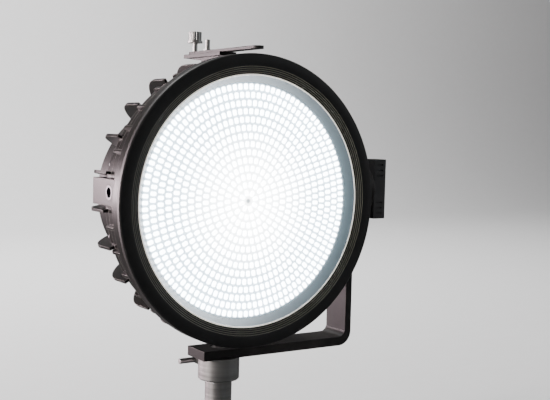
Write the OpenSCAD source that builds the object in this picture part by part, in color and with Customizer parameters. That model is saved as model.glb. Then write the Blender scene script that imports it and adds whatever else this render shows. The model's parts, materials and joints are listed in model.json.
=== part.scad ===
// Fresnel spotlight on a one-arm yoke. Millimetres, +Z up, front towards -Y.
// The origin is the shoulder of the stand pin. Along the optical axis, s counts back from the rim plane.

/* [Placing] */
// Tilt axis above the optical axis
tilt_up = 9; // [6:0.5:10]
// Rim plane ahead of the pin axis
rim_ahead = 64; // [56:1:72]
// Tilt axis behind the rim plane
tilt_s = 36; // [34:0.5:38]

/* [Bezel and lens] */
// Radius of the lens rim
rim_r = 127; // [126:0.5:128]
// Radial width from the rim to the outside of the bezel
bezel_w = 20.5; // [19:0.5:22]
// Bezel face ahead of the rim plane
bezel_front = 3; // [2.8:0.1:4]
// Bezel back face behind the rim plane
bezel_back = 2; // [1.6:0.1:3]
// Number of baffle steps around the rim
step_n = 4; // [3:1:5]
// Radial width of a baffle step
step_w = 1.4; // [1:0.1:1.6]
// Depth of a baffle step
step_d = 0.65; // [0.4:0.05:0.7]
// Chamfer of outer edges
edge_c = 1.2; // [0.5:0.1:1.6]
// Radial width of the skirt between the rim and the lit face
skirt_w = 8; // [7:0.5:10]
// Depth of the skirt from lip to lens
skirt_d = 9; // [8:0.5:10]
// Width of the bright lip of the retainer
lip_w = 1; // [0.6:0.1:1.4]
// Number of ring steps on the lens
ring_n = 14; // [12:1:14]
// Height of a ring step on the lens
ring_h = 0.9; // [0.5:0.1:1]
// Cells that each ring has more than the ring inside it
cell_step = 8; // [6:1:8]
// Radial length of a lens cell
cell_l = 5.8; // [5:0.1:6.6]
// Width of a lens cell
cell_w = 3.9; // [3:0.1:4.1]
// Turn of the cell pattern about the axis, in degrees
cell_turn = 15.9; // [0:0.1:45]
// Glass thickness at the lens edge
lens_t = 5; // [4:0.5:6]
// Thickness of a lens gasket
gasket_t = 1; // [0.8:0.1:1.4]

/* [Front casting] */
// Length of the smooth band
band_l = 12; // [10:0.5:14]
// Seam between the two castings behind the rim plane
seam_s = 42; // [40:0.5:44]
// Drop from the outside of the bezel to the wall between the ribs
wall_drop = 9; // [8.5:0.5:10]
// Wall thickness of the castings
wall_t = 6; // [5:0.5:6.5]
// Drop from the outside of the bezel to the short ribs
rib_drop = 3.5; // [2.5:0.5:5]
// Thickness of a short rib
rib_t = 3; // [2:0.25:3.5]
// Angle between short ribs
rib_pitch = 10; // [10, 12, 15, 20]
// Rounding of the rear corner of a short rib
rib_c = 4; // [2:0.5:6]

/* [Rear casting] */
// Drop from the outside of the bezel to the core drum
core_drop = 27.5; // [26:0.5:30]
// Rear end of the core behind the rim plane
core_back = 100; // [99:1:103]
// Thickness of the plate that carries the light source
plate_t = 8; // [6:0.5:10]
// Angle between long fins
fin_pitch = 15; // [15, 30]
// Drop from the outside of the bezel to the long fins
fin_drop = 3.5; // [2.5:0.5:6]
// Rear end of the long fins
fin_back = 92; // [84:1:93]
// Thickness of a long fin
fin_t = 3; // [2:0.25:3.5]
// Rounding of the rear corner of a long fin
fin_c = 26; // [18:0.5:26]
// Drop from the core drum to the fins on the back of the plate
back_fin_drop = 8; // [7:0.5:9]
// Height of the fins on the back of the plate
back_fin_h = 16; // [10:1:18]
// Width of the flat pads between fins
pad_w = 26; // [22:0.5:27]
// Height of the top pad above the core drum
pad_h = 3; // [2:0.5:5]
// Drop from the outside of the bezel to the two pivot pads
boss_drop = 6.5; // [5:0.5:8]
// Rear end of the pivot pads behind the rim plane
boss_back = 74; // [66:1:80]

/* [Light source] */
// Number of rings of light packages
led_rings = 5; // [4:1:6]
// Width of the light board outside the rings of packages
led_edge = 17; // [12:0.5:20]
// Side of a light package
led_w = 5; // [3:0.5:7]
// Height of a light package
led_h = 1.3; // [1:0.1:2]
// Thickness of the light board
board_t = 2; // [1.6:0.1:3]
// Thickness of the thermal pad
pad_t = 0.8; // [0.5:0.1:1.5]
// Wall of the mixing cone
cone_t = 1; // [0.8:0.1:1.5]

/* [Rear drum] */
// Radius of the rear drum
drum_r = 100; // [97:0.5:101]
// Rear end of the drum behind the rim plane
drum_back = 168; // [164:1:172]
// Slope of the rear edge of the drum
drum_c = 9; // [8:0.5:11]
// Wall of the drum
drum_t = 3; // [2.5:0.25:4]
// Thickness of the rear panel
panel_t = 3; // [2.5:0.25:4]
// Recess of the panel into the drum
panel_in = 0.5; // [0.5:0.25:2]
// Vent slots in each side of the drum
vent_n = 9; // [5:1:11]
// Width of a vent slot
vent_w = 3; // [2:0.25:4]
// Radius of a setting knob
dial_r = 11; // [9:0.5:13]
// Height of a setting knob
dial_h = 15; // [12:0.5:18]
// Radius of a push button
button_r = 4.5; // [3.5:0.25:5]
// Travel of a push button
button_travel = 1.5; // [1:0.1:2]
// Tilt of the mains rocker to either side, in degrees
rocker_deg = 8; // [5:0.5:10]

/* [Yoke] */
// Gap between the bezel and the arm
arm_gap = 6; // [5:0.5:10]
// Thickness of the arm and the foot
arm_t = 8; // [6:0.5:10]
// Width of the arm
arm_w = 36; // [32:1:40]
// Radius of the arm's eye
eye_r = 26; // [24:0.5:30]
// Gap between the bezel and the foot
foot_gap = 11.5; // [9:0.5:14]
// Reach of the foot past the pin axis
foot_reach = 28; // [26:1:40]
// Outer radius of the bend
bend_r = 16; // [12:1:24]

/* [Tilt lock] */
// Radius of the pivot stud
stud_r = 4.95; // [4:0.05:6]
// Radius of the pivot hub
hub_r = 20; // [18:0.5:20.5]
// Thickness of the friction disc
disc_t = 1; // [0.8:0.1:2]
// Length of the grip bar of the tilt knob
grip_l = 66; // [56:1:72]
// Width of the grip bar
grip_w = 24; // [18:0.5:28]
// Thickness of the grip bar
grip_t = 18.5; // [14:0.5:24]
// Rounding of the outer edges of the grip bar
grip_c = 5; // [2:0.5:8]
// Length of the neck of the tilt knob
neck_l = 8; // [5:0.5:10]

/* [Stand fitting] */
// Radius of the stand pin
pin_r = 14.3; // [14:0.05:14.5]
// Length of the stand pin
pin_l = 75; // [60:1:80]
// Radius of the stud socket in the pin
socket_r = 8.05; // [7.9:0.05:8.2]
// Radius of the collar above the pin
collar_r = 22; // [20:0.5:25]
// Height of the collar above the pin
collar_h = 24; // [22:0.5:30]
// Radius of the clamping screw
clamp_r = 4; // [3:0.5:5]
// Length of the cross bar of the clamping screw
tbar_l = 52; // [40:1:60]

/* [Top keeper] */
// Gap between the bezel and the keeper bar
keeper_gap = 4.5; // [3.5:0.5:10]
// Width of the keeper bar
keeper_w = 12; // [10:0.5:13]
// Thickness of the keeper bar
keeper_t = 3; // [2.5:0.25:4]
// Pivot post behind the rim plane
post_s = 102; // [98:1:112]
// Height of the pivot post above the bar
post_h = 12; // [9:0.5:14]
// Radius of the pivot post
post_r = 2.6; // [2:0.1:3]
// Thumb screw behind the rim plane
thumb_s = 130; // [126:1:134]
// Radius of the thumb screw's head
thumb_r = 7; // [5:0.5:8]

/* [Fits] */
// Radial clearance of a running fit
run_fit = 0.06; // [0.02:0.01:0.09]
// Gap between faces that slide past each other
face_gap = 0.1; // [0.05:0.05:0.2]
// Clearance around a control in its opening
free_gap = 0.4; // [0.32:0.02:0.6]
// Clearance of a piece dropped into a recess of its own casting
seat_gap = 0.2; // [0.1:0.05:0.4]

/* [Hidden] */
$fn = 96;
cut = 1;
bezel_r = rim_r + bezel_w;
face_r = rim_r - skirt_w;
wall_r = bezel_r - wall_drop;
rib_r = bezel_r - rib_drop;
core_r = bezel_r - core_drop;
fin_r = bezel_r - fin_drop;
back_fin_r = core_r - back_fin_drop;
pad_r = core_r + pad_h;
boss_r = bezel_r - boss_drop;
arm_x = bezel_r + arm_gap;
keeper_lift = bezel_r + keeper_gap;
swing_r = bezel_r + tilt_up + foot_gap;
foot_t = arm_t + 2;
foot_low = collar_h;
foot_top = foot_low + foot_t;
axis_z = foot_top + swing_r - tilt_up;
ring_edge = 4;
ring_pitch = (face_r - ring_edge) / ring_n;
band_back = bezel_back + band_l;
recess_r = wall_r - wall_t - 0.5;
lens_front = skirt_d + 2 * gasket_t;
lens_back = lens_front + lens_t;
seat_s = lens_back + gasket_t;
seat_t = 3.5;
lens_r = face_r + 5;
cone_front = seat_s + seat_t;
plate_front = core_back - plate_t;
board_back = plate_front - pad_t;
board_front = board_back - board_t;
board_r = core_r - wall_t - 8;
led_pitch = (board_r - led_edge) / led_rings;
core_in_r = core_r - wall_t + 1;
flange_t = 7;
seam_gap = 1;
back_c = 6;
tongue_l = 14;
tongue_s = tilt_s - tongue_l;
tongue_r = recess_r - 6;
notch_gap = 0.4;
hole_r = 2.25;
screw_r = 2;
screw_head_r = 3.5;
screw_head_h = 2.6;
bezel_screw_r = wall_r + screw_head_r + seat_gap;
body_screw_r = wall_r - wall_t / 2;
lead_y = -30;
lead_gap = 10;
lead_r = 1.4;
lead_hole_r = 10;
panel_back = drum_back - panel_in;
panel_front = panel_back - panel_t;
mouth_r = drum_r - drum_c - drum_t;
panel_r = mouth_r - seat_gap;
panel_lip = 5;
panel_screw_r = panel_r - 3.6;
screw_m3 = 1.5;
head_m3 = 2.5;
head_m3_h = 1.6;
driver_s = core_back + 26;
driver_w = 104;
driver_d = 80;
pcb_t = 1.6;
control_s = panel_front - 8;
dial_x = 40;
dial_z = 6;
button_x = 16;
button_z = 12;
button_h = 3;
shaft_r = 3;
window_w = 48;
window_h = 24;
window_z = 40;
rocker_w = 19;
rocker_h = 13;
rocker_z = -16;
rocker_pin = 1.5;
frame_w = 3;
frame_t = 2;
inlet_x = 38;
inlet_z = -34;
inlet_r = 13;
data_r = 11;
pocket_w = 13;
pocket_h = 11;
pocket_d = 11;
data_spots = [[-38, -34], [0, -52]];
arm_out = arm_x + arm_t;
pad_angle = asin(tilt_up / boss_r);
hub_end = arm_x - disc_t - face_gap;
hub_foot_r = pad_w / 2 - 1;
hub_step = rib_r + 2;
washer_t = 2;
knob_x = arm_out + face_gap + washer_t;
neck_r = 13;
stud_end = knob_x + neck_l + grip_t - 8;
insert_r = 7;
insert_l = 12;
leg_s = rim_ahead - arm_w / 2;
link_z = 74;
fin_angles = [
    for (k = [-6:5])
        let (a = pad_angle + (k + 0.5) * fin_pitch)
            if (abs(a) < 80) a
];
clamp_z = foot_low / 2;
clamp_reach = 22;
clamp_end = collar_r + clamp_reach;
tbar_r = 3;
flat_screw_r = 5;
flat_head_r = 9.5;
flat_head_h = 5;
keeper_front = -6;
keeper_back = thumb_s + 7;
bracket_w = 20;
bracket_lead = 44;
bracket_s = post_s - bracket_lead;
thumb_stem = 10;
thumb_h = 12;

// Puts a piece on the optical axis: x stays, local z runs back, local y runs down
module on_axis() {
    translate([0, -rim_ahead, axis_z])
        rotate([-90, 0, 0])
            children();
}

// Puts a piece in the rim plane's frame, with y running back and z up
module at_rim() {
    translate([0, -rim_ahead, axis_z])
        children();
}

// Puts a piece on the tilt axis, with local z running out along +X
module on_tilt() {
    translate([0, tilt_s - rim_ahead, axis_z + tilt_up])
        rotate([0, 90, 0])
            children();
}

// Puts a piece on the keeper's plane at depth s
module on_keeper(s) {
    at_rim()
        translate([0, s, keeper_lift])
            children();
}

// Draws a piece on the right of the axis and its mirror image on the left
module both_sides() {
    children();
    mirror([1, 0, 0])
        children();
}

// Upright plate through the axis, drawn as radius against depth
module blade(t) {
    rotate([90, 0, 0])
        linear_extrude(t, center = true)
            children();
}

// Plate drawn as depth against height, centred on the x plane
module side_plate(t) {
    rotate([90, 0, 90])
        linear_extrude(t, center = true)
            children();
}

// Tube along z
module tube(r_out, r_in, z0, z1) {
    translate([0, 0, z0])
        difference() {
            cylinder(h = z1 - z0, r = r_out);
            translate([0, 0, -cut])
                cylinder(h = z1 - z0 + 2 * cut, r = r_in);
        }
}

// Rod along z
module rod(r, z0, z1) {
    translate([0, 0, z0])
        cylinder(h = z1 - z0, r = r);
}

// Rib outline with one rounded corner at the outside back
module rib_shape(r0, r1, s0, s1, c) {
    translate([r0, s0])
        square([r1 - r0 - c, s1 - s0]);
    translate([r0, s0])
        square([r1 - r0, s1 - s0 - c]);
    translate([r1 - c, s1 - c])
        intersection() {
            circle(c);
            square(c);
        }
}

// Angles of the screws that join bezel and front casting
function bezel_screw_angles() = [for (i = [0:5]) rib_pitch / 2 + 60 * i];

// Angles of the screws that join the two castings
function body_screw_angles() = [15, 75, 105, 165, 195, 255, 285, 345];

module bezel_ring() {
    r0 = rim_r + seat_gap;
    steps = [for (i = [0:step_n - 1]) each [
        [r0 + i * step_w, -bezel_front + (step_n - i) * step_d],
        [r0 + (i + 1) * step_w, -bezel_front + (step_n - i) * step_d]
    ]];
    color([0.03, 0.03, 0.032])
        on_axis()
            rotate_extrude()
                polygon(concat(
                    [[r0, bezel_back]],
                    steps,
                    [
                        [r0 + step_n * step_w, -bezel_front],
                        [bezel_r - edge_c, -bezel_front],
                        [bezel_r, -bezel_front + edge_c],
                        [bezel_r, bezel_back]
                    ]
                ));
}

module bezel_screws() {
    color([0.12, 0.12, 0.12])
        on_axis()
            for (a = bezel_screw_angles())
                rotate([0, 0, a])
                    translate([bezel_screw_r, 0, 0]) {
                        rod(screw_r, bezel_back, band_back);
                        rod(screw_head_r, band_back, band_back + screw_head_h);
                    }
}

module lens_retainer() {
    color([0.55, 0.6, 0.63])
        on_axis()
            rotate_extrude()
                polygon([
                    [rim_r - lip_w, 0],
                    [rim_r, 0],
                    [rim_r, bezel_back],
                    [recess_r - seat_gap, bezel_back],
                    [recess_r - seat_gap, bezel_back + 2],
                    [rim_r, bezel_back + 2],
                    [rim_r, skirt_d + gasket_t],
                    [face_r + 0.4, skirt_d + gasket_t],
                    [face_r + 0.4, skirt_d]
                ]);
}

module front_gasket() {
    color([0.05, 0.05, 0.05])
        on_axis()
            tube(lens_r, face_r + 1.5, skirt_d + gasket_t, lens_front);
}

module fresnel_lens() {
    groove_w = 0.6;
    groove_d = 0.3;
    grooves = [for (k = [1:ring_n]) each [
        [(k - 0.5) * ring_pitch - groove_w / 2, lens_front],
        [(k - 0.5) * ring_pitch - groove_w / 2, lens_front + groove_d],
        [(k - 0.5) * ring_pitch + groove_w / 2, lens_front + groove_d],
        [(k - 0.5) * ring_pitch + groove_w / 2, lens_front]
    ]];
    root = lens_front + 0.5;
    low = lens_front - ring_h * 0.4;
    color([0.85, 0.92, 0.95, 0.6])
        on_axis() {
            rotate_extrude()
                polygon(concat(
                    [[0, lens_back], [0, lens_front]],
                    grooves,
                    [[lens_r, lens_front], [lens_r, lens_back]]
                ));
            for (k = [1:ring_n])
                for (i = [0:cell_step * k - 1])
                    rotate([0, 0, i * 360 / (cell_step * k) - cell_turn])
                        translate([k * ring_pitch - cell_l / 2, 0, 0])
                            blade(cell_w)
                                polygon([
                                    [0, root],
                                    [0, lens_front - ring_h],
                                    [cell_l, low],
                                    [cell_l, root]
                                ]);
        }
}

module seat_gasket() {
    color([0.05, 0.05, 0.05])
        on_axis()
            tube(lens_r, face_r + 1.5, lens_back, seat_s);
}

module front_ring() {
    color([0.06, 0.06, 0.065])
        on_axis()
            difference() {
                union() {
                    rotate_extrude()
                        polygon([
                            [recess_r, bezel_back],
                            [bezel_r, bezel_back],
                            [bezel_r, band_back - edge_c],
                            [bezel_r - edge_c, band_back],
                            [wall_r, band_back],
                            [wall_r, seam_s],
                            [recess_r, seam_s],
                            [recess_r, cone_front],
                            [face_r - 1, cone_front],
                            [face_r - 1, seat_s],
                            [recess_r, seat_s]
                        ]);
                    for (a = [rib_pitch:rib_pitch:360])
                        if (a % 180 != 0)
                            rotate([0, 0, a])
                                blade(rib_t)
                                    rib_shape(wall_r - 2, rib_r, band_back - 1, seam_s, rib_c);
                }
                for (a = bezel_screw_angles())
                    rotate([0, 0, a])
                        translate([bezel_screw_r, 0, bezel_back - cut])
                            cylinder(h = band_l + 2 * cut, r = hole_r);
                for (a = body_screw_angles())
                    rotate([0, 0, a])
                        translate([body_screw_r, 0, seam_s - 10])
                            cylinder(h = 10 + cut, r = hole_r);
                both_sides()
                    translate([recess_r - 4, -tilt_up - pad_w / 2 - notch_gap, tongue_s - notch_gap])
                        cube([bezel_r - recess_r, pad_w + 2 * notch_gap, seam_s - tongue_s + notch_gap + cut]);
            }
}

module body_screws() {
    color([0.12, 0.12, 0.12])
        on_axis()
            for (a = body_screw_angles())
                rotate([0, 0, a])
                    translate([body_screw_r, 0, 0]) {
                        rod(screw_r, seam_s - 9, seam_s + flange_t);
                        rod(screw_head_r, seam_s + flange_t, seam_s + flange_t + screw_head_h);
                    }
}

module heat_sink() {
    color([0.06, 0.06, 0.065])
        on_axis()
            difference() {
                union() {
                    rotate_extrude()
                        polygon([
                            [core_in_r, seam_s],
                            [wall_r, seam_s],
                            [wall_r, seam_s + flange_t],
                            [core_r, seam_s + flange_t],
                            [core_r, core_back - back_c],
                            [core_r - back_c, core_back],
                            [0, core_back],
                            [0, plate_front],
                            [core_in_r, plate_front]
                        ]);
                    both_sides()
                        for (a = fin_angles)
                            rotate([0, 0, -a]) {
                                blade(fin_t)
                                    rib_shape(core_r - 3, fin_r, seam_s + seam_gap, fin_back, fin_c);
                                blade(fin_t)
                                    polygon([
                                        [drum_r + 2, core_back - 1],
                                        [back_fin_r, core_back - 1],
                                        [back_fin_r, core_back + 3],
                                        [back_fin_r - 8, core_back + back_fin_h],
                                        [drum_r + 2, core_back + back_fin_h]
                                    ]);
                            }
                    both_sides()
                        translate([0, -tilt_up - pad_w / 2, 0]) {
                            translate([tongue_r, 0, tongue_s])
                                cube([boss_r - tongue_r, pad_w, boss_back - tongue_s]);
                            translate([core_in_r + 1, 0, seam_s + seam_gap])
                                cube([boss_r - core_in_r - 1, pad_w, boss_back - seam_s - seam_gap]);
                        }
                    translate([-pad_w / 2, -pad_r, seam_s])
                        cube([pad_w, pad_h + 3, core_back - back_c - 1 - seam_s]);
                }
                both_sides()
                    translate([boss_r + cut, -tilt_up, tilt_s])
                        rotate([0, -90, 0])
                            cylinder(h = insert_l + cut, r = insert_r);
                for (a = body_screw_angles())
                    rotate([0, 0, a])
                        translate([body_screw_r, 0, seam_s - cut])
                            cylinder(h = flange_t + 2 * cut, r = hole_r);
                translate([0, lead_y, plate_front - cut])
                    cylinder(h = plate_t + 2 * cut, r = lead_hole_r);
            }
}

module thermal_pad() {
    color([0.6, 0.6, 0.65])
        on_axis()
            difference() {
                rod(board_r, board_back, plate_front);
                translate([0, lead_y, 0])
                    rod(lead_hole_r, board_back - cut, plate_front + cut);
            }
}

module led_board() {
    color([0.9, 0.9, 0.88])
        on_axis()
            rod(board_r, board_front, board_back);
}

module led_packages() {
    color([0.95, 0.9, 0.6])
        on_axis()
            for (k = [0:led_rings])
                for (i = [0:max(6 * k - 1, 0)])
                    rotate([0, 0, k == 0 ? 0 : i * 60 / k])
                        translate([k * led_pitch - led_w / 2, -led_w / 2, board_front - led_h])
                            cube([led_w, led_w, led_h]);
}

module led_leads() {
    color([0.6, 0.05, 0.05])
        on_axis()
            for (side = [-1, 1])
                translate([side * lead_gap / 2, lead_y, 0])
                    rod(lead_r, board_back, driver_s);
}

module mixing_cone() {
    r_back = board_r - 0.5;
    r_front = face_r - 2;
    color([0.92, 0.92, 0.92])
        on_axis()
            rotate_extrude()
                polygon([
                    [r_back - cone_t, board_front],
                    [r_back, board_front],
                    [r_front, cone_front + 1],
                    [r_front + 4, cone_front + 1],
                    [r_front + 4, cone_front],
                    [r_front - cone_t, cone_front]
                ]);
}

module rear_drum() {
    inner = drum_r - drum_t;
    color([0.07, 0.07, 0.075])
        on_axis()
            difference() {
                rotate_extrude()
                    polygon([
                        [inner - 8, core_back],
                        [drum_r, core_back],
                        [drum_r, drum_back - drum_c],
                        [mouth_r + drum_t, drum_back],
                        [mouth_r, drum_back],
                        [mouth_r, panel_front],
                        [mouth_r - panel_lip, panel_front],
                        [mouth_r - panel_lip, panel_front - 3],
                        [mouth_r, panel_front - 3],
                        [inner, drum_back - drum_c - drum_t],
                        [inner, core_back + 3],
                        [inner - 8, core_back + 3]
                    ]);
                for (side = [90, 270])
                    for (i = [0:vent_n - 1])
                        rotate([0, 0, side + (i - (vent_n - 1) / 2) * 7])
                            translate([inner - 2, -vent_w / 2, core_back + 20])
                                cube([drum_t + 6, vent_w, panel_front - core_back - 34]);
                for (a = [30:60:330])
                    rotate([0, 0, a])
                        translate([panel_screw_r, 0, panel_front - 3 - cut])
                            cylinder(h = 3 + 2 * cut, r = screw_m3 + seat_gap);
            }
}

module rear_panel() {
    color([0.09, 0.09, 0.095])
        on_axis()
            difference() {
                rod(panel_r, panel_front, panel_back);
                for (a = [30:60:330])
                    rotate([0, 0, a])
                        translate([panel_screw_r, 0, 0])
                            rod(screw_m3 + seat_gap, panel_front - cut, panel_back + cut);
                for (side = [-1, 1])
                    translate([side * dial_x, -dial_z, 0])
                        rod(shaft_r + free_gap, panel_front - cut, panel_back + cut);
                for (side = [-1, 0, 1])
                    translate([side * button_x, -button_z, 0])
                        rod(button_r + free_gap, panel_front - cut, panel_back + cut);
                translate([-window_w / 2, -window_z - window_h / 2, panel_front - cut])
                    cube([window_w, window_h, panel_t + 2 * cut]);
                translate([-rocker_w / 2 - frame_w / 2, -rocker_z - rocker_h / 2 - frame_w / 2, panel_front - cut])
                    cube([rocker_w + frame_w, rocker_h + frame_w, panel_t + 2 * cut]);
                translate([inlet_x, -inlet_z, 0])
                    rod(inlet_r + seat_gap, panel_front - cut, panel_back + cut);
                for (p = data_spots)
                    translate([p[0], -p[1], 0])
                        rod(data_r + seat_gap, panel_front - cut, panel_back + cut);
            }
}

module panel_screws() {
    color([0.5, 0.5, 0.5])
        on_axis()
            for (a = [30:60:330])
                rotate([0, 0, a])
                    translate([panel_screw_r, 0, 0]) {
                        rod(screw_m3, panel_front - 3, panel_back);
                        rod(head_m3, panel_back, panel_back + head_m3_h);
                    }
}

module display_window() {
    color([0.02, 0.03, 0.04])
        on_axis()
            translate([-window_w / 2, -window_z - window_h / 2, panel_front])
                cube([window_w, window_h, panel_t + 0.4]);
}

module control_board() {
    encoder_w = 13;
    switch_w = 6;
    board_w = 2 * dial_x + encoder_w + 4;
    color([0.05, 0.25, 0.12])
        on_axis() {
            difference() {
                union() {
                    translate([-board_w / 2, -button_z - 8, control_s])
                        cube([board_w, 24, pcb_t]);
                    for (side = [-1, 1])
                        translate([side * dial_x - encoder_w / 2, -dial_z - encoder_w / 2, control_s])
                            cube([encoder_w, encoder_w, panel_front - control_s]);
                    for (side = [-1, 0, 1])
                        translate([side * button_x - switch_w / 2, -button_z - switch_w / 2, control_s])
                            cube([switch_w, switch_w, 4]);
                }
                for (side = [-1, 1])
                    translate([side * dial_x, -dial_z, 0])
                        rod(shaft_r + run_fit, control_s + 3, panel_front + cut);
            }
        }
}

module driver_board() {
    color([0.05, 0.25, 0.12])
        on_axis()
            translate([-driver_w / 2, -driver_d / 2, driver_s])
                cube([driver_w, driver_d, pcb_t]);
}

module driver_parts() {
    coil_w = 30;
    coil_h = 20;
    cap_r = 8;
    cap_h = 21;
    color([0.75, 0.6, 0.15])
        on_axis() {
            translate([-coil_w / 2, 0, driver_s - coil_h])
                cube([coil_w, coil_w, coil_h]);
            for (side = [-1, 1])
                translate([side * 32, 8, 0])
                    rod(cap_r, driver_s - cap_h, driver_s);
            for (side = [-1, 1])
                translate([side * 32 - 9, -32, driver_s - 14])
                    cube([18, 22, 14]);
        }
}

module driver_standoffs() {
    color([0.7, 0.65, 0.4])
        on_axis()
            for (sx = [-1, 1])
                for (sy = [-1, 1])
                    translate([sx * (driver_w / 2 - 5), sy * (driver_d / 2 - 5), 0])
                        rod(3, core_back, driver_s);
}

module power_inlet() {
    slot_w = 3;
    slot_l = 6;
    color([0.08, 0.12, 0.3])
        on_axis()
            translate([inlet_x, -inlet_z, 0])
                difference() {
                    union() {
                        rod(inlet_r, panel_front - 18, panel_back);
                        rod(inlet_r + 2.5, panel_back, panel_back + 2);
                    }
                    difference() {
                        rod(inlet_r - 2, panel_front - 10, panel_back + 2 + cut);
                        rod(inlet_r - 7, panel_front - 10 - cut, panel_back + 1);
                    }
                    for (a = [90, 210, 330])
                        rotate([0, 0, a])
                            translate([2.2, -slot_w / 4, panel_front - 6])
                                cube([slot_l / 2, slot_w / 2, 20]);
                }
}

module data_sockets() {
    flange_h = 1.6;
    key_w = 5;
    key_h = 2;
    color([0.1, 0.1, 0.1])
        on_axis()
            for (p = data_spots)
                translate([p[0], -p[1], 0])
                    difference() {
                        union() {
                            rod(data_r, panel_front - 16, panel_back);
                            rod(data_r + 2, panel_back, panel_back + flange_h);
                        }
                        translate([-pocket_w / 2, -pocket_h / 2, panel_back + flange_h - pocket_d])
                            cube([pocket_w, pocket_h, pocket_d + cut]);
                        translate([-key_w / 2, pocket_h / 2 - cut, panel_back + flange_h - pocket_d])
                            cube([key_w, key_h + cut, pocket_d + cut]);
                    }
}

module switch_frame() {
    in_w = rocker_w + 2 * free_gap - frame_w / 2;
    in_h = rocker_h + 2 * free_gap - frame_w / 2;
    out_w = rocker_w + frame_w;
    out_h = rocker_h + frame_w;
    color([0.06, 0.06, 0.06])
        on_axis()
            translate([0, -rocker_z, 0])
                difference() {
                    union() {
                        translate([-out_w / 2, -out_h / 2, panel_front - 12])
                            cube([out_w, out_h, panel_t + 12]);
                        translate([-out_w / 2 - 1.5, -out_h / 2 - 1.5, panel_back])
                            cube([out_w + 3, out_h + 3, frame_t]);
                    }
                    translate([-in_w / 2, -in_h / 2, panel_front - 10])
                        cube([in_w, in_h, 30]);
                    rotate([0, 90, 0])
                        translate([-panel_back, 0, -out_w / 2 - cut])
                            cylinder(h = out_w + 2 * cut, r = rocker_pin + run_fit);
                }
}

module power_rocker() {
    w = rocker_w - frame_w / 2;
    half = rocker_h / 2 - frame_w / 4;
    crown = 2.2;
    color([0.5, 0.06, 0.05])
        on_axis()
            translate([0, -rocker_z, panel_back])
                rotate([rocker_deg, 0, 0]) {
                    rotate([90, 0, 90])
                        linear_extrude(w, center = true)
                            polygon([
                                [-half + 1, -4],
                                [half - 1, -4],
                                [half - 0.4, frame_t + crown],
                                [0, frame_t + 0.9],
                                [-half + 0.4, frame_t + crown]
                            ]);
                    rotate([0, 90, 0])
                        cylinder(h = rocker_w + frame_w - 0.4, r = rocker_pin, center = true);
                }
}

// Setting knob with a flat-sided grip and a shaft
module dial(x) {
    grip_n = 18;
    color([0.05, 0.05, 0.055])
        on_axis()
            translate([x, -dial_z, 0])
                difference() {
                    union() {
                        rod(shaft_r, control_s + 3.4, panel_back + 1);
                        rod(dial_r, panel_back + 0.6, panel_back + dial_h);
                    }
                    for (i = [0:grip_n - 1])
                        rotate([0, 0, i * 360 / grip_n])
                            translate([dial_r + 0.6, 0, 0])
                                rod(1.2, panel_back + 3, panel_back + dial_h + cut);
                    translate([dial_r * 0.35, -0.6, panel_back + dial_h - 0.8])
                        cube([dial_r * 0.5, 1.2, 2]);
                }
}

module dimmer_dial() {
    dial(-dial_x);
}

module colour_dial() {
    dial(dial_x);
}

// Push button with a plunger down to its switch
module push_button(x) {
    color([0.2, 0.2, 0.21])
        on_axis()
            translate([x, -button_z, 0]) {
                rod(button_r, panel_front - 0.4, panel_back + button_h);
                rod(1.6, control_s + 4 + button_travel + 0.2, panel_front);
            }
}

module menu_button() {
    push_button(-button_x);
}

module back_button() {
    push_button(0);
}

module enter_button() {
    push_button(button_x);
}

module pivot_inserts() {
    color([0.6, 0.6, 0.58])
        for (side = [-1, 1])
            on_tilt()
                tube(insert_r, stud_r + run_fit, side > 0 ? boss_r - insert_l : -boss_r,
                    side > 0 ? boss_r : insert_l - boss_r);
}

module pivot_hub() {
    color([0.3, 0.3, 0.31])
        on_tilt()
            difference() {
                union() {
                    rod(hub_foot_r, boss_r, hub_end);
                    rod(hub_r, hub_step, hub_end);
                }
                rod(stud_r + run_fit, boss_r - cut, hub_end + cut);
            }
}

module friction_disc() {
    color([0.35, 0.25, 0.15])
        on_tilt()
            tube(hub_r - 1, stud_r + free_gap, hub_end, hub_end + disc_t);
}

module pivot_stud() {
    color([0.65, 0.65, 0.65])
        on_tilt()
            rod(stud_r, boss_r - insert_l, stud_end);
}

module knob_washer() {
    color([0.65, 0.65, 0.65])
        on_tilt()
            tube(hub_r - 4, stud_r + run_fit, arm_out + face_gap, knob_x);
}

// Section of the grip bar: thickness against width, with rounded outer edges
module grip_shape() {
    translate([0, -grip_w / 2])
        square([grip_t - grip_c, grip_w]);
    translate([0, grip_c - grip_w / 2])
        square([grip_t, grip_w - 2 * grip_c]);
    for (side = [-1, 1])
        translate([grip_t - grip_c, side * (grip_w / 2 - grip_c)])
            circle(grip_c);
}

module tilt_knob() {
    groove_n = 3;
    groove_w = 2;
    groove_pitch = 6;
    color([0.04, 0.04, 0.042])
        on_tilt()
            difference() {
                union() {
                    rod(neck_r, knob_x, knob_x + neck_l + 1);
                    translate([grip_l / 2, 0, knob_x + neck_l])
                        rotate([0, -90, 0])
                            linear_extrude(grip_l)
                                grip_shape();
                }
                for (end = [-1, 1])
                    for (i = [0:groove_n - 1])
                        for (side = [-1, 1])
                            translate([
                                end * (grip_l / 2 - 6 - i * groove_pitch) - groove_w / 2,
                                side * grip_w / 2 - 1,
                                knob_x + neck_l + 3
                            ])
                                cube([groove_w, 2, grip_t - grip_c - 5]);
                rod(stud_r + run_fit, knob_x - cut, stud_end + 1);
            }
}

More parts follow.
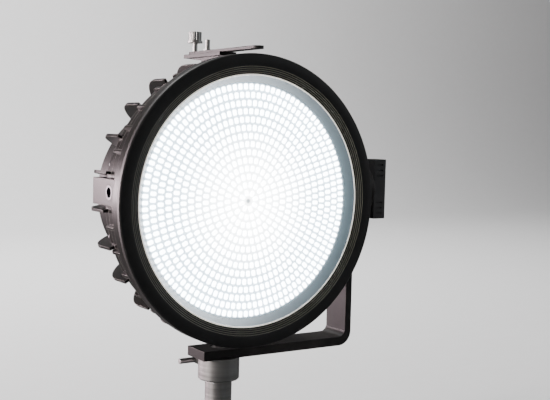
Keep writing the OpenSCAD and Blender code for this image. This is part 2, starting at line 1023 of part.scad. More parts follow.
module yoke_arm() {
    inner_r = bend_r - arm_t;
    low = tilt_up - swing_r - foot_t;
    color([0.05, 0.05, 0.055])
        difference() {
            union() {
                at_rim()
                    translate([0, leg_s + arm_w, 0])
                        rotate([90, 0, 0])
                            linear_extrude(arm_w)
                                difference() {
                                    union() {
                                        translate([arm_x, low + bend_r])
                                            square([arm_t, -link_z - low - bend_r + 1]);
                                        translate([-foot_reach, low])
                                            square([arm_out - bend_r + foot_reach, foot_t]);
                                        translate([arm_out - bend_r, low + bend_r])
                                            intersection() {
                                                circle(bend_r);
                                                translate([0, -bend_r])
                                                    square([bend_r, bend_r]);
                                            }
                                    }
                                    translate([arm_x - inner_r, low + foot_t + inner_r])
                                        circle(inner_r);
                                }
                at_rim()
                    translate([arm_x, 0, 0])
                        rotate([90, 0, 90])
                            linear_extrude(arm_t) {
                                translate([tilt_s, tilt_up])
                                    circle(eye_r);
                                polygon([
                                    [tilt_s - eye_r * 0.95, tilt_up - eye_r * 0.3],
                                    [tilt_s + eye_r * 0.95, tilt_up - eye_r * 0.3],
                                    [leg_s + arm_w, -link_z],
                                    [leg_s, -link_z]
                                ]);
                            }
            }
            on_tilt()
                rod(stud_r + run_fit, arm_x - cut, arm_out + cut);
            rod(flat_screw_r + seat_gap, foot_low - cut, foot_top + cut);
            translate([0, 0, foot_top - flat_head_h])
                cylinder(h = flat_head_h + cut, r = flat_head_r + seat_gap);
        }
}

module stand_pin() {
    tip_c = 2;
    color([0.62, 0.62, 0.6])
        difference() {
            rotate_extrude()
                polygon([
                    [0, -pin_l],
                    [pin_r - tip_c, -pin_l],
                    [pin_r, -pin_l + tip_c],
                    [pin_r, 0],
                    [collar_r - edge_c, 0],
                    [collar_r, edge_c],
                    [collar_r, foot_low],
                    [0, foot_low]
                ]);
            rod(socket_r, -pin_l - cut, foot_low - 5);
            rod(flat_screw_r + seat_gap, foot_low - 6, foot_low + cut);
            translate([0, 0, clamp_z])
                rotate([-90, 0, 0])
                    rod(clamp_r + run_fit, 0, collar_r + cut);
        }
}

module pin_screw() {
    color([0.6, 0.6, 0.58]) {
        rod(flat_screw_r, foot_low - 5, foot_top - 0.3);
        rod(flat_head_r, foot_top - flat_head_h, foot_top - 0.3);
    }
}

module clamp_screw() {
    knuckle_r = 6.5;
    color([0.6, 0.6, 0.58])
        translate([0, 0, clamp_z]) {
            rotate([-90, 0, 0]) {
                rod(clamp_r, socket_r + 0.4, clamp_end);
                rod(knuckle_r, clamp_end - 10, clamp_end + 3);
            }
            translate([0, clamp_end - 3.5, 0])
                rotate([0, 90, 0])
                    cylinder(h = tbar_l, r = tbar_r, center = true);
        }
}

module keeper_bracket() {
    web_t = 9;
    top_t = 4;
    top = keeper_lift - face_gap;
    color([0.05, 0.05, 0.055])
        difference() {
            at_rim() {
                side_plate(web_t)
                    polygon([
                        [bracket_s, pad_r],
                        [core_back - back_c - 1, pad_r],
                        [post_s + 6, top - top_t - 3],
                        [keeper_back, top - top_t],
                        [keeper_back, top],
                        [bracket_s, top]
                    ]);
                translate([-bracket_w / 2, bracket_s, top - top_t])
                    cube([bracket_w, keeper_back - bracket_s, top_t]);
                translate([-bracket_w / 2, bracket_s, pad_r])
                    cube([bracket_w, core_back - back_c - 1 - bracket_s, top_t]);
            }
            on_keeper(post_s)
                rod(post_r + run_fit, -6, cut);
        }
}

module keeper_post() {
    collar_t = 1.2;
    color([0.65, 0.65, 0.65])
        on_keeper(post_s) {
            rod(post_r, -6, keeper_t + post_h);
            rod(post_r + 2.2, keeper_t + face_gap, keeper_t + face_gap + collar_t);
        }
}

module keeper_bar() {
    front_l = post_s - keeper_front;
    back_l = keeper_back - post_s;
    thumb_l = thumb_s - post_s;
    end_r = keeper_w / 2;
    color([0.05, 0.05, 0.055])
        on_keeper(post_s)
            difference() {
                linear_extrude(keeper_t) {
                    translate([-end_r, end_r - front_l])
                        square([keeper_w, front_l + back_l - keeper_w]);
                    translate([0, end_r - front_l])
                        circle(end_r);
                    translate([0, back_l - end_r])
                        circle(end_r);
                }
                rod(post_r + run_fit, -cut, keeper_t + cut);
                translate([0, thumb_l, 0])
                    rod(post_r + run_fit, -cut, keeper_t + cut);
            }
}

module thumb_screw() {
    base_t = 2;
    grip_n = 16;
    top = keeper_t + thumb_stem + thumb_h;
    color([0.62, 0.62, 0.6])
        on_keeper(thumb_s)
            difference() {
                union() {
                    rod(post_r, 0.3, keeper_t + thumb_stem + 1);
                    rod(thumb_r + 1.2, keeper_t + thumb_stem, keeper_t + thumb_stem + base_t);
                    rod(thumb_r, keeper_t + thumb_stem, top);
                }
                for (i = [0:grip_n - 1])
                    rotate([0, 0, i * 360 / grip_n])
                        translate([thumb_r + 0.5, 0, 0])
                            rod(1, keeper_t + thumb_stem + base_t + 0.6, top + cut);
            }
}

bezel_ring();
bezel_screws();
lens_retainer();
front_gasket();
fresnel_lens();
seat_gasket();
front_ring();
body_screws();
heat_sink();
thermal_pad();
led_board();
led_packages();
led_leads();
mixing_cone();
rear_drum();
rear_panel();
panel_screws();
display_window();
control_board();
driver_board();
driver_parts();
driver_standoffs();
power_inlet();
data_sockets();
switch_frame();
power_rocker();
dimmer_dial();
colour_dial();
menu_button();
back_button();
enter_button();
pivot_inserts();
pivot_hub();
friction_disc();
pivot_stud();
knob_washer();
tilt_knob();
yoke_arm();
stand_pin();
pin_screw();
clamp_screw();
keeper_bracket();
keeper_post();
keeper_bar();
thumb_screw();
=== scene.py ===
import json
import math

import bpy
from mathutils import Matrix, Vector


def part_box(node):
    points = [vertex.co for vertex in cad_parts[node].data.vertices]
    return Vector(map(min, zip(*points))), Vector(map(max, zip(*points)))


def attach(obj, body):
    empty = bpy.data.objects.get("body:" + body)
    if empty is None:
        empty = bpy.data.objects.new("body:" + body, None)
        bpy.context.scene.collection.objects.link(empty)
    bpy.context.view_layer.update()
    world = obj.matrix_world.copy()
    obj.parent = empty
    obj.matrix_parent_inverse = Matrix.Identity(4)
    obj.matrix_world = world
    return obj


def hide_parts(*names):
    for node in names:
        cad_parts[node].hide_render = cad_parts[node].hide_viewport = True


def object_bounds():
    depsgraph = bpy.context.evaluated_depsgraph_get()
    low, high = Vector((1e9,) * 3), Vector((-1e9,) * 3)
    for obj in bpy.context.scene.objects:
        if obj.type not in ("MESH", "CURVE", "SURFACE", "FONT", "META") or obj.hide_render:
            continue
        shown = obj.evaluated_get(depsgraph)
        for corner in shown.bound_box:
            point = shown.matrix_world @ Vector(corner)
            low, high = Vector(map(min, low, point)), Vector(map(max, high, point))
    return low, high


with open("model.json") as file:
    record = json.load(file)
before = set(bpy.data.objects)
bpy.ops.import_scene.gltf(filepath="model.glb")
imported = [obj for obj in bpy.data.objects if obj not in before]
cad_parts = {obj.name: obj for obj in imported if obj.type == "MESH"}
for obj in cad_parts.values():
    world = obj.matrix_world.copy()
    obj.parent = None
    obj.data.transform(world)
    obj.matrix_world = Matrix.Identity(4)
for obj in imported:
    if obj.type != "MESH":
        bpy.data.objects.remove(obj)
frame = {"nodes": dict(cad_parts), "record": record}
CAD_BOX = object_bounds()

bl_info = {
    "name": "Fresnel spotlight",
    "version": (1, 0, 0),
    "blender": (4, 5, 0),
    "location": "3D View > Sidebar > Spotlight",
    "description": "Dresses the spotlight's solids with a lit lens, fasteners, markings and finishes",
    "category": "Object",
}

MM = 0.001


def middle(node):
    """Centre of a CAD node's box."""
    low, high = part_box(node)
    return (low + high) / 2


LENS_LOW, LENS_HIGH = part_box("fresnel_lens")
AXIS_X = 0.0
AXIS_Z = (LENS_LOW.z + LENS_HIGH.z) / 2
RIM_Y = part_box("lens_retainer")[0].y
LENS_BACK_Y = LENS_HIGH.y
BAFFLE_R = 127.2 * MM
PANEL_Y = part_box("rear_panel")[1].y


class SpotlightSizes(bpy.types.PropertyGroup):
    """Sizes of the pieces that are modelled on the solids."""

    ring_count: bpy.props.IntProperty(
        name="Lens rings", description="Rings of cells on the lens", default=14, min=1, max=14
    )
    ring_pitch: bpy.props.FloatProperty(
        name="Ring pitch", description="Radial pitch of the lens rings",
        default=8.214 * MM, unit="LENGTH",
    )
    cell_step: bpy.props.IntProperty(
        name="Cells per step", description="Cells that each ring has more than the one inside it",
        default=8,
    )
    cell_length: bpy.props.FloatProperty(
        name="Cell length", description="Radial length of a cell", default=5.8 * MM, unit="LENGTH"
    )
    cell_width: bpy.props.FloatProperty(
        name="Cell width", description="Width of a cell", default=3.9 * MM, unit="LENGTH"
    )
    cell_turn: bpy.props.FloatProperty(
        name="Cell turn", description="Turn of the pattern about the axis",
        default=math.radians(15.9), subtype="ANGLE",
    )
    cell_height: bpy.props.FloatProperty(
        name="Cell height", description="Crown of a cell above the plate",
        default=0.9 * MM, unit="LENGTH",
    )
    plate_front: bpy.props.FloatProperty(
        name="Plate front", description="Front of the lens plate behind the rim",
        default=11.0 * MM, unit="LENGTH",
    )
    baffle_steps: bpy.props.IntProperty(
        name="Baffle steps", description="Steps of the baffle around the rim", default=4, min=2, max=6
    )
    baffle_pitch: bpy.props.FloatProperty(
        name="Baffle pitch", description="Radial width of a baffle step", default=1.9 * MM, unit="LENGTH"
    )
    baffle_drop: bpy.props.FloatProperty(
        name="Baffle drop", description="Depth of a baffle step", default=0.65 * MM, unit="LENGTH"
    )
    tick_reach: bpy.props.FloatProperty(
        name="Tick reach", description="Radius of the dial marks", default=15.0 * MM, unit="LENGTH"
    )


class SpotlightLooks(bpy.types.PropertyGroup):
    """Colours and strengths of the finishes."""

    housing: bpy.props.FloatVectorProperty(
        name="Housing", description="Paint of the castings", subtype="COLOR", size=3,
        default=(0.011, 0.0098, 0.0096), min=0.0, max=1.0,
    )
    bezel: bpy.props.FloatVectorProperty(
        name="Bezel", description="Paint of the bezel", subtype="COLOR", size=3,
        default=(0.005, 0.005, 0.0052), min=0.0, max=1.0,
    )
    skirt: bpy.props.FloatVectorProperty(
        name="Skirt", description="Paint of the ring around the lens", subtype="COLOR", size=3,
        default=(0.034, 0.05, 0.058), min=0.0, max=1.0,
    )
    glow: bpy.props.FloatProperty(
        name="Glow", description="Strength of the lit cells", default=15.0, min=0.0
    )
    plate_glow: bpy.props.FloatProperty(
        name="Plate glow", description="Strength of the light between the cells", default=7.0, min=0.0
    )


class SpotlightStage(bpy.types.PropertyGroup):
    """Place of the camera, as the photograph was taken."""

    azimuth: bpy.props.FloatProperty(
        name="Azimuth", description="Camera's angle from the front",
        default=math.radians(-33.1), subtype="ANGLE",
    )
    elevation: bpy.props.FloatProperty(
        name="Elevation", description="Camera's angle above the level",
        default=math.radians(4.1), subtype="ANGLE",
    )
    roll: bpy.props.FloatProperty(
        name="Roll", description="Camera's turn about its view",
        default=math.radians(1.4), subtype="ANGLE",
    )
    distance: bpy.props.FloatProperty(
        name="Distance", description="Camera to the middle of the rim", default=1.0, unit="LENGTH"
    )
    rim_px: bpy.props.FloatVectorProperty(
        name="Rim in the picture", description="Where the rim's middle falls, in pixels",
        size=2, default=(254.2, 201.9),
    )


PHOTO_WIDTH = 550
PHOTO_HEIGHT = 400
SENSOR_MM = 36.0


def sizes():
    return bpy.context.scene.spotlight_sizes


def looks():
    return bpy.context.scene.spotlight_looks


def stage():
    return bpy.context.scene.spotlight_stage


# Modelling by hand, in steps that every piece uses


def deselect():
    """Leaves edit mode and selects nothing."""
    if bpy.context.object and bpy.context.object.mode != "OBJECT":
        bpy.ops.object.mode_set(mode="OBJECT")
    bpy.ops.object.select_all(action="DESELECT")


def add_box(name, size, place):
    """Box of the given size, its place in its mesh."""
    deselect()
    bpy.ops.mesh.primitive_cube_add(size=1, location=place, scale=size)
    return settle(name)


def add_rod(name, radius, depth, place, sides=32, turn=(math.pi / 2, 0, 0)):
    """Round or many-sided rod along Y, its place in its mesh."""
    deselect()
    bpy.ops.mesh.primitive_cylinder_add(
        vertices=sides, radius=radius, depth=depth, location=place, rotation=turn
    )
    return settle(name)


def settle(name):
    """Names the active object and moves its place into its mesh."""
    piece = bpy.context.object
    piece.name = name
    piece.data.name = name
    bpy.ops.object.transform_apply(location=True, rotation=True, scale=True)
    return piece


def activate(piece):
    deselect()
    piece.select_set(True)
    bpy.context.view_layer.objects.active = piece


def edit(piece, mode="VERT"):
    """Opens a piece in edit mode with nothing selected."""
    activate(piece)
    bpy.ops.object.mode_set(mode="EDIT")
    bpy.ops.mesh.select_mode(type=mode)
    bpy.ops.mesh.select_all(action="DESELECT")
    bpy.ops.object.mode_set(mode="OBJECT")


def pick_faces(piece, test):
    """Selects the faces whose centre and normal pass the test, and stays in edit mode."""
    edit(piece, "FACE")
    for face in piece.data.polygons:
        face.select = test(face.center, face.normal)
    bpy.ops.object.mode_set(mode="EDIT")


def pick_edges(piece, test):
    """Selects the edges whose two ends pass the test, and stays in edit mode."""
    edit(piece, "EDGE")
    points = piece.data.vertices
    for line in piece.data.edges:
        a, b = (points[i].co for i in line.vertices)
        line.select = test(a, b)
    bpy.ops.object.mode_set(mode="EDIT")


def close_edit():
    bpy.ops.object.mode_set(mode="OBJECT")


def round_off(piece, test, offset, segments=2):
    """Bevels the edges whose two ends pass the test."""
    pick_edges(piece, test)
    bpy.ops.mesh.bevel(offset=offset, segments=segments, affect="EDGES")
    close_edit()


def cut_away(piece, tool):
    """Cuts one piece out of another and removes the tool."""
    activate(piece)
    cut = piece.modifiers.new("Cut", "BOOLEAN")
    cut.operation = "DIFFERENCE"
    cut.solver = "EXACT"
    cut.object = tool
    bpy.ops.object.modifier_apply(modifier=cut.name)
    bpy.data.objects.remove(tool)


def join(name, pieces):
    """Joins pieces into one with its place in its mesh."""
    deselect()
    for piece in pieces:
        piece.select_set(True)
    bpy.context.view_layer.objects.active = pieces[0]
    if len(pieces) > 1:
        bpy.ops.object.join()
    return settle(name)


def copy_to(piece, matrix):
    """Copy of a piece with a mesh of its own, moved by a matrix."""
    other = piece.copy()
    other.data = piece.data.copy()
    bpy.context.scene.collection.objects.link(other)
    other.data.transform(matrix)
    return other


def repeat_around(piece, count, centre, axis, angle=2 * math.pi):
    """Repeats a piece's mesh around an axis."""
    activate(piece)
    bpy.ops.object.mode_set(mode="EDIT")
    bpy.ops.mesh.select_all(action="SELECT")
    step = angle / count
    bpy.ops.mesh.spin(
        steps=count - 1, dupli=True, angle=step * (count - 1), use_auto_merge=False,
        center=centre, axis=axis,
    )
    close_edit()


def smooth(piece, angle=35):
    activate(piece)
    bpy.ops.object.shade_smooth_by_angle(angle=math.radians(angle))


def hand_over(piece, body, slot, material, *nodes):
    """Gives a piece its body and finish, and hides the nodes that it stands for; the slot is not used.
    """
    piece.data.materials.clear()
    piece.data.materials.append(material)
    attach(piece, body)
    if nodes:
        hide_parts(*nodes)


# Shader groups that several finishes share


def new_group(name, inputs, outputs):
    """Empty shader group with float inputs, and outputs that are floats or normals."""
    group = bpy.data.node_groups.new(name, "ShaderNodeTree")
    for label, default in inputs:
        socket = group.interface.new_socket(label, in_out="INPUT", socket_type="NodeSocketFloat")
        socket.default_value = default
    for label in outputs:
        kind = "NodeSocketVector" if label == "Normal" else "NodeSocketFloat"
        group.interface.new_socket(label, in_out="OUTPUT", socket_type=kind)
    entry = group.nodes.new("NodeGroupInput")
    result = group.nodes.new("NodeGroupOutput")
    return group, entry, result


def math_node(tree, operation, first, second=None, clamp=False):
    """Math node whose inputs are sockets or plain numbers."""
    node = tree.nodes.new("ShaderNodeMath")
    node.operation = operation
    node.use_clamp = clamp
    for index, value in enumerate((first, second)):
        if value is None:
            continue
        if isinstance(value, bpy.types.NodeSocket):
            tree.links.new(value, node.inputs[index])
        else:
            node.inputs[index].default_value = value
    return node.outputs[0]


def ramp_value(tree, value, low, high, out_low=0.0, out_high=1.0, smooth_step=False):
    """Maps a value from one range to another, clamped."""
    node = tree.nodes.new("ShaderNodeMapRange")
    node.interpolation_type = "SMOOTHSTEP" if smooth_step else "LINEAR"
    tree.links.new(value, node.inputs["Value"])
    node.inputs["From Min"].default_value = low
    node.inputs["From Max"].default_value = high
    node.inputs["To Min"].default_value = out_low
    node.inputs["To Max"].default_value = out_high
    return node.outputs["Result"]


def mix_colours(tree, factor, first, second):
    """Mix of two colours, each a socket or a plain colour."""
    node = tree.nodes.new("ShaderNodeMix")
    node.data_type = "RGBA"
    tree.links.new(factor, node.inputs["Factor"])
    for label, value in (("A", first), ("B", second)):
        socket = [s for s in node.inputs if s.name == label and s.type == "RGBA"][0]
        if isinstance(value, bpy.types.NodeSocket):
            tree.links.new(value, socket)
        else:
            socket.default_value = (*value[:3], 1.0)
    return [s for s in node.outputs if s.type == "RGBA"][0]


def object_place(tree):
    return tree.nodes.new("ShaderNodeTexCoord").outputs["Object"]


def noise(tree, place, scale, detail=3.0, rough=0.55):
    node = tree.nodes.new("ShaderNodeTexNoise")
    node.inputs["Detail"].default_value = detail
    node.inputs["Roughness"].default_value = rough
    tree.links.new(place, node.inputs["Vector"])
    if isinstance(scale, bpy.types.NodeSocket):
        tree.links.new(scale, node.inputs["Scale"])
    else:
        node.inputs["Scale"].default_value = scale
    return node.outputs["Fac"]


def grain_group():
    """Fine pebbled grain of paint and moulded plastic."""
    tree, entry, result = new_group("Paint grain", [("Scale", 900.0)], ["Height", "Tone"])
    place = object_place(tree)
    fine = noise(tree, place, entry.outputs["Scale"], 2.0)
    coarse = noise(tree, place, math_node(tree, "MULTIPLY", entry.outputs["Scale"], 0.22), 2.0)
    fine_part = math_node(tree, "MULTIPLY", fine, 0.65)
    coarse_part = math_node(tree, "MULTIPLY", coarse, 0.35)
    tree.links.new(math_node(tree, "ADD", fine_part, coarse_part), result.inputs["Height"])
    tree.links.new(ramp_value(tree, coarse, 0.3, 0.7), result.inputs["Tone"])
    return tree


def dust_group():
    """Soft patches of dust, thicker on faces that look up."""
    tree, entry, result = new_group("Dust", [("Scale", 14.0), ("Amount", 0.4)], ["Mask"])
    place = object_place(tree)
    cloud = noise(tree, place, entry.outputs["Scale"], 5.0, 0.62)
    patches = ramp_value(tree, cloud, 0.42, 0.78, smooth_step=True)
    split = tree.nodes.new("ShaderNodeSeparateXYZ")
    tree.links.new(tree.nodes.new("ShaderNodeTexCoord").outputs["Normal"], split.inputs[0])
    facing = ramp_value(tree, split.outputs["Z"], -0.2, 1.0, 0.35, 1.0)
    settled = math_node(tree, "MULTIPLY", patches, facing)
    mask = math_node(tree, "MULTIPLY", settled, entry.outputs["Amount"], clamp=True)
    tree.links.new(mask, result.inputs["Mask"])
    return tree


def rub_group():
    """Small rubbed spots and short scratches."""
    tree, entry, result = new_group("Rubbed spots", [("Scale", 60.0), ("Cover", 0.3)], ["Mask"])
    place = object_place(tree)
    spots = noise(tree, place, entry.outputs["Scale"], 6.0, 0.7)
    stretch = tree.nodes.new("ShaderNodeMapping")
    stretch.inputs["Rotation"].default_value = (0.4, 0.7, 0.3)
    stretch.inputs["Scale"].default_value = (1.0, 14.0, 14.0)
    tree.links.new(place, stretch.inputs["Vector"])
    half_scale = math_node(tree, "MULTIPLY", entry.outputs["Scale"], 0.5)
    scratches = noise(tree, stretch.outputs["Vector"], half_scale, 3.0)
    spot_mask = ramp_value(tree, spots, 0.62, 0.74)
    scratch_mask = ramp_value(tree, scratches, 0.69, 0.74)
    both = math_node(tree, "MAXIMUM", spot_mask, scratch_mask)
    mask = math_node(tree, "MULTIPLY", both, entry.outputs["Cover"], clamp=True)
    tree.links.new(mask, result.inputs["Mask"])
    return tree


def brush_group():
    """Level lines of a turned or brushed metal face."""
    inputs = [("Scale", 260.0), ("Stretch", 0.04)]
    tree, entry, result = new_group("Brushed lines", inputs, ["Height", "Tone"])
    place = object_place(tree)
    scale = tree.nodes.new("ShaderNodeCombineXYZ")
    tree.links.new(entry.outputs["Stretch"], scale.inputs["X"])
    tree.links.new(entry.outputs["Stretch"], scale.inputs["Y"])
    scale.inputs["Z"].default_value = 1.0
    stretched = tree.nodes.new("ShaderNodeVectorMath")
    stretched.operation = "MULTIPLY"
    tree.links.new(place, stretched.inputs[0])
    tree.links.new(scale.outputs[0], stretched.inputs[1])
    lines = noise(tree, stretched.outputs[0], entry.outputs["Scale"], 4.0, 0.6)
    tree.links.new(lines, result.inputs["Height"])
    tree.links.new(ramp_value(tree, lines, 0.3, 0.7), result.inputs["Tone"])
    return tree


def edge_group():
    """Normal softened along the edges, and a mask of patches along them: rubbed-off coat, and painted
    highlight where a finish lightens them strongly.
    """
    tree, entry, result = new_group("Edges", [("Radius", 0.5 * MM)], ["Normal", "Mask"])
    soft = tree.nodes.new("ShaderNodeBevel")
    soft.samples = 4
    tree.links.new(entry.outputs["Radius"], soft.inputs["Radius"])
    flat = tree.nodes.new("ShaderNodeNewGeometry")
    turn = tree.nodes.new("ShaderNodeVectorMath")
    turn.operation = "DOT_PRODUCT"
    tree.links.new(soft.outputs["Normal"], turn.inputs[0])
    tree.links.new(flat.outputs["Normal"], turn.inputs[1])
    edge = ramp_value(tree, turn.outputs["Value"], 0.99, 0.8)
    cloud = noise(tree, object_place(tree), 70.0, 4.0)
    patches = ramp_value(tree, cloud, 0.35, 0.6, 0.35, 1.0)
    tree.links.new(soft.outputs["Normal"], result.inputs["Normal"])
    tree.links.new(math_node(tree, "MULTIPLY", edge, patches), result.inputs["Mask"])
    return tree


def radius_group():
    """Distance from the optical axis."""
    tree, _, result = new_group("From the optical axis", [], ["Radius"])
    split = tree.nodes.new("ShaderNodeSeparateXYZ")
    tree.links.new(object_place(tree), split.inputs[0])
    across = math_node(tree, "SUBTRACT", split.outputs["X"], AXIS_X)
    up = math_node(tree, "SUBTRACT", split.outputs["Z"], AXIS_Z)
    across_square = math_node(tree, "MULTIPLY", across, across)
    up_square = math_node(tree, "MULTIPLY", up, up)
    square = math_node(tree, "ADD", across_square, up_square)
    tree.links.new(math_node(tree, "SQRT", square), result.inputs["Radius"])
    return tree


GROUP_MAKERS = {
    "Paint grain": grain_group,
    "Dust": dust_group,
    "Rubbed spots": rub_group,
    "Brushed lines": brush_group,
    "Edges": edge_group,
    "From the optical axis": radius_group,
}


def shared(tree, name, **values):
    """Places a shared group in a material, with its own values."""
    group = bpy.data.node_groups.get(name) or GROUP_MAKERS[name]()
    node = tree.nodes.new("ShaderNodeGroup")
    node.node_tree = group
    for label, value in values.items():
        node.inputs[label].default_value = value
    return node.outputs


class Finish:
    """A Principled material that a finish function fills in."""

    def __init__(self, name, colour, rough, metal=0.0):
        self.material = bpy.data.materials.new(name)
        self.material.use_nodes = True
        self.tree = self.material.node_tree
        self.shader = self.tree.nodes["Principled BSDF"]
        self.colour = tuple(colour)
        self.rough = rough
        self.set("Base Color", (*self.colour, 1.0))
        self.set("Roughness", rough)
        self.set("Metallic", metal)

    def set(self, label, value):
        self.shader.inputs[label].default_value = value
        return self

    def link(self, value, label):
        self.tree.links.new(value, self.shader.inputs[label])
        return self

    def edge_wear_and_highlight(self, radius, colour):
        """Blends towards a lighter colour along the edges, broken up by patches: rubbed coat, and
        painted highlight where the colour is much lighter.
        """
        mask = shared(self.tree, "Edges", Radius=radius)["Mask"]
        under = self.shader.inputs["Base Color"].links[0].from_socket
        return self.link(mix_colours(self.tree, mask, under, colour), "Base Color")

    def bump(self, height, strength, depth, edge=0.0):
        """Bump from a height, with edges softened over a radius."""
        node = self.tree.nodes.new("ShaderNodeBump")
        node.inputs["Strength"].default_value = strength
        node.inputs["Distance"].default_value = depth
        self.tree.links.new(height, node.inputs["Height"])
        if edge:
            self.tree.links.new(shared(self.tree, "Edges", Radius=edge)["Normal"], node.inputs["Normal"])
        return self.link(node.outputs["Normal"], "Normal")

    def vary(self, mask, other, value_rough):
        """Blends towards another colour and roughness by a mask."""
        base = self.shader.inputs["Base Color"]
        first = base.links[0].from_socket if base.links else self.colour
        self.link(mix_colours(self.tree, mask, first, other), "Base Color")
        return self.link(ramp_value(self.tree, mask, 0.0, 1.0, self.rough, value_rough), "Roughness")


def shade(colour, factor):
    return tuple(min(1.0, part * factor) for part in colour)


DUST_TINT = (0.3, 0.27, 0.25)
DUST_SHARE = 0.45


def coat_paint(
    name, colour, rough, grain=900.0, dust=0.25, rub=0.25, edge=0.8 * MM, wear_and_highlight=3.0, gloss=0.2
):
    """Powder or satin paint on metal: pebbled, a little dusty, rubbed in places, with lighter edges that
    are partly worn coat and partly painted highlight.
    """
    finish = Finish(name, colour, rough)
    grained = shared(finish.tree, "Paint grain", Scale=grain)
    toned = mix_colours(finish.tree, grained["Tone"], shade(colour, 0.86), shade(colour, 1.14))
    dusty = shared(finish.tree, "Dust", Amount=dust)
    rubbed = shared(finish.tree, "Rubbed spots", Cover=rub)
    worn = mix_colours(finish.tree, rubbed["Mask"], toned, shade(colour, 2.2))
    warm_dust = tuple(
        (1 - DUST_SHARE) * part + DUST_SHARE * tint for part, tint in zip(colour, DUST_TINT)
    )
    finish.link(mix_colours(finish.tree, dusty["Mask"], worn, warm_dust), "Base Color")
    dull = ramp_value(finish.tree, dusty["Mask"], 0.0, 1.0, rough, min(1.0, rough + 0.25))
    finish.link(dull, "Roughness")
    finish.set("Specular IOR Level", gloss)
    # Lighter edges: worn coat, and a painted highlight where the lightening is strong.
    finish.edge_wear_and_highlight(edge, shade(colour, wear_and_highlight))
    return finish.bump(grained["Height"], strength=0.22, depth=0.25 * MM, edge=edge)


def moulded(name, colour, rough, grain=1400.0, edge=0.5 * MM, dust=0.12):
    """Moulded plastic or rubber with a fine spark-eroded grain."""
    finish = Finish(name, colour, rough)
    grained = shared(finish.tree, "Paint grain", Scale=grain)
    toned = mix_colours(finish.tree, grained["Tone"], shade(colour, 0.9), shade(colour, 1.12))
    dusty = shared(finish.tree, "Dust", Scale=30.0, Amount=dust)
    finish.link(mix_colours(finish.tree, dusty["Mask"], toned, (0.2, 0.19, 0.18)), "Base Color")
    sheen = ramp_value(finish.tree, grained["Tone"], 0.0, 1.0, rough - 0.06, rough + 0.08)
    finish.link(sheen, "Roughness")
    finish.set("Specular IOR Level", 0.25)
    return finish.bump(grained["Height"], strength=0.18, depth=0.12 * MM, edge=edge)


def bare_metal(name, colour, rough, stretch=0.04, edge=0.4 * MM):
    """Brushed or turned bare metal, with dull patches."""
    finish = Finish(name, colour, rough, 1.0)
    lines = shared(finish.tree, "Brushed lines", Stretch=stretch)
    toned = mix_colours(finish.tree, lines["Tone"], shade(colour, 0.8), shade(colour, 1.1))
    dull = shared(finish.tree, "Dust", Scale=40.0, Amount=0.5)
    finish.link(mix_colours(finish.tree, dull["Mask"], toned, shade(colour, 0.55)), "Base Color")
    sheen = ramp_value(finish.tree, lines["Tone"], 0.0, 1.0, rough - 0.08, rough + 0.12)
    finish.link(sheen, "Roughness")
    return finish.bump(lines["Height"], strength=0.12, depth=0.05 * MM, edge=edge)


def bezel_finish():
    """Matt black, with olive lines along the baffle steps around the rim as painted reflections of the
    lens light.
    """
    finish = coat_paint("bezel_black", looks().bezel, 0.5, dust=0.06, rub=0.12, edge=0.5 * MM)
    tree = finish.tree
    radius = shared(tree, "From the optical axis")["Radius"]
    s = sizes()
    lap = 0.1 * MM
    step_black = (0.005, 0.005, 0.0045)
    olive = (0.085, 0.082, 0.062)
    outside = BAFFLE_R + s.baffle_steps * s.baffle_pitch + lap
    inside = ramp_value(tree, radius, outside, outside + lap, 1.0, 0.0)
    from_rim = math_node(tree, "SUBTRACT", radius, BAFFLE_R + lap)
    saw = math_node(tree, "FRACT", math_node(tree, "DIVIDE", from_rim, s.baffle_pitch))
    # Painted reflection: the olive lines along the step edges stand for the lens light that they catch.
    line = math_node(tree, "MULTIPLY", ramp_value(tree, saw, 0.62, 0.68), inside)
    under = finish.shader.inputs["Base Color"].links[0].from_socket
    stepped = mix_colours(tree, inside, under, step_black)
    finish.link(mix_colours(tree, line, stepped, olive), "Base Color")
    finish.set("Specular IOR Level", 0.3)
    return finish.material


def skirt_finish():
    """Satin blue-grey with faint wipe marks; painted light makes it lighter towards the lens, and a
    painted highlight makes the lip warm white and glowing.
    """
    colour = looks().skirt
    finish = Finish("retainer_grey", colour, 0.42)
    tree = finish.tree
    radius = shared(tree, "From the optical axis")["Radius"]
    # Painted highlight: the lip is near white and glows warm.
    lip_span = (125.7 * MM, 126.0 * MM)
    # Painted light: the ring is lighter towards the lens, as if lit by its glow.
    lens_glow_span = (119.0 * MM, 124.0 * MM)
    lip = ramp_value(tree, radius, *lip_span)
    lens_glow_fade = ramp_value(tree, radius, *lens_glow_span, smooth_step=True)
    toned = mix_colours(tree, lens_glow_fade, shade(colour, 1.5), colour)
    dusty = shared(tree, "Dust", Scale=60.0, Amount=0.35)
    wiped = mix_colours(tree, dusty["Mask"], toned, shade(colour, 1.35))
    finish.link(mix_colours(tree, lip, wiped, (0.92, 0.88, 0.8)), "Base Color")
    glow = math_node(tree, "MULTIPLY", lip, 0.9)
    finish.link(mix_colours(tree, glow, (0.0, 0.0, 0.0), (1.0, 0.95, 0.86)), "Emission Color")
    finish.set("Emission Strength", 0.7)
    grained = shared(tree, "Paint grain", Scale=1200.0)
    return finish.bump(grained["Height"], strength=0.1, depth=0.1 * MM).material


def cell_finish():
    """Lit glass cell, whitest in the middle of the lens."""
    finish = Finish("lens_cell_lit", (0.9, 0.94, 1.0), 0.22)
    tree = finish.tree
    radius = shared(tree, "From the optical axis")["Radius"]
    blue_span = (30.0 * MM, 118.0 * MM)
    outward = ramp_value(tree, radius, *blue_span, smooth_step=True)
    finish.link(mix_colours(tree, outward, (1.0, 1.0, 1.0), (0.93, 0.97, 1.0)), "Emission Color")
    finish.set("Emission Strength", looks().glow)
    ripple = noise(tree, object_place(tree), 700.0)
    return finish.bump(ripple, strength=0.08, depth=0.1 * MM).material


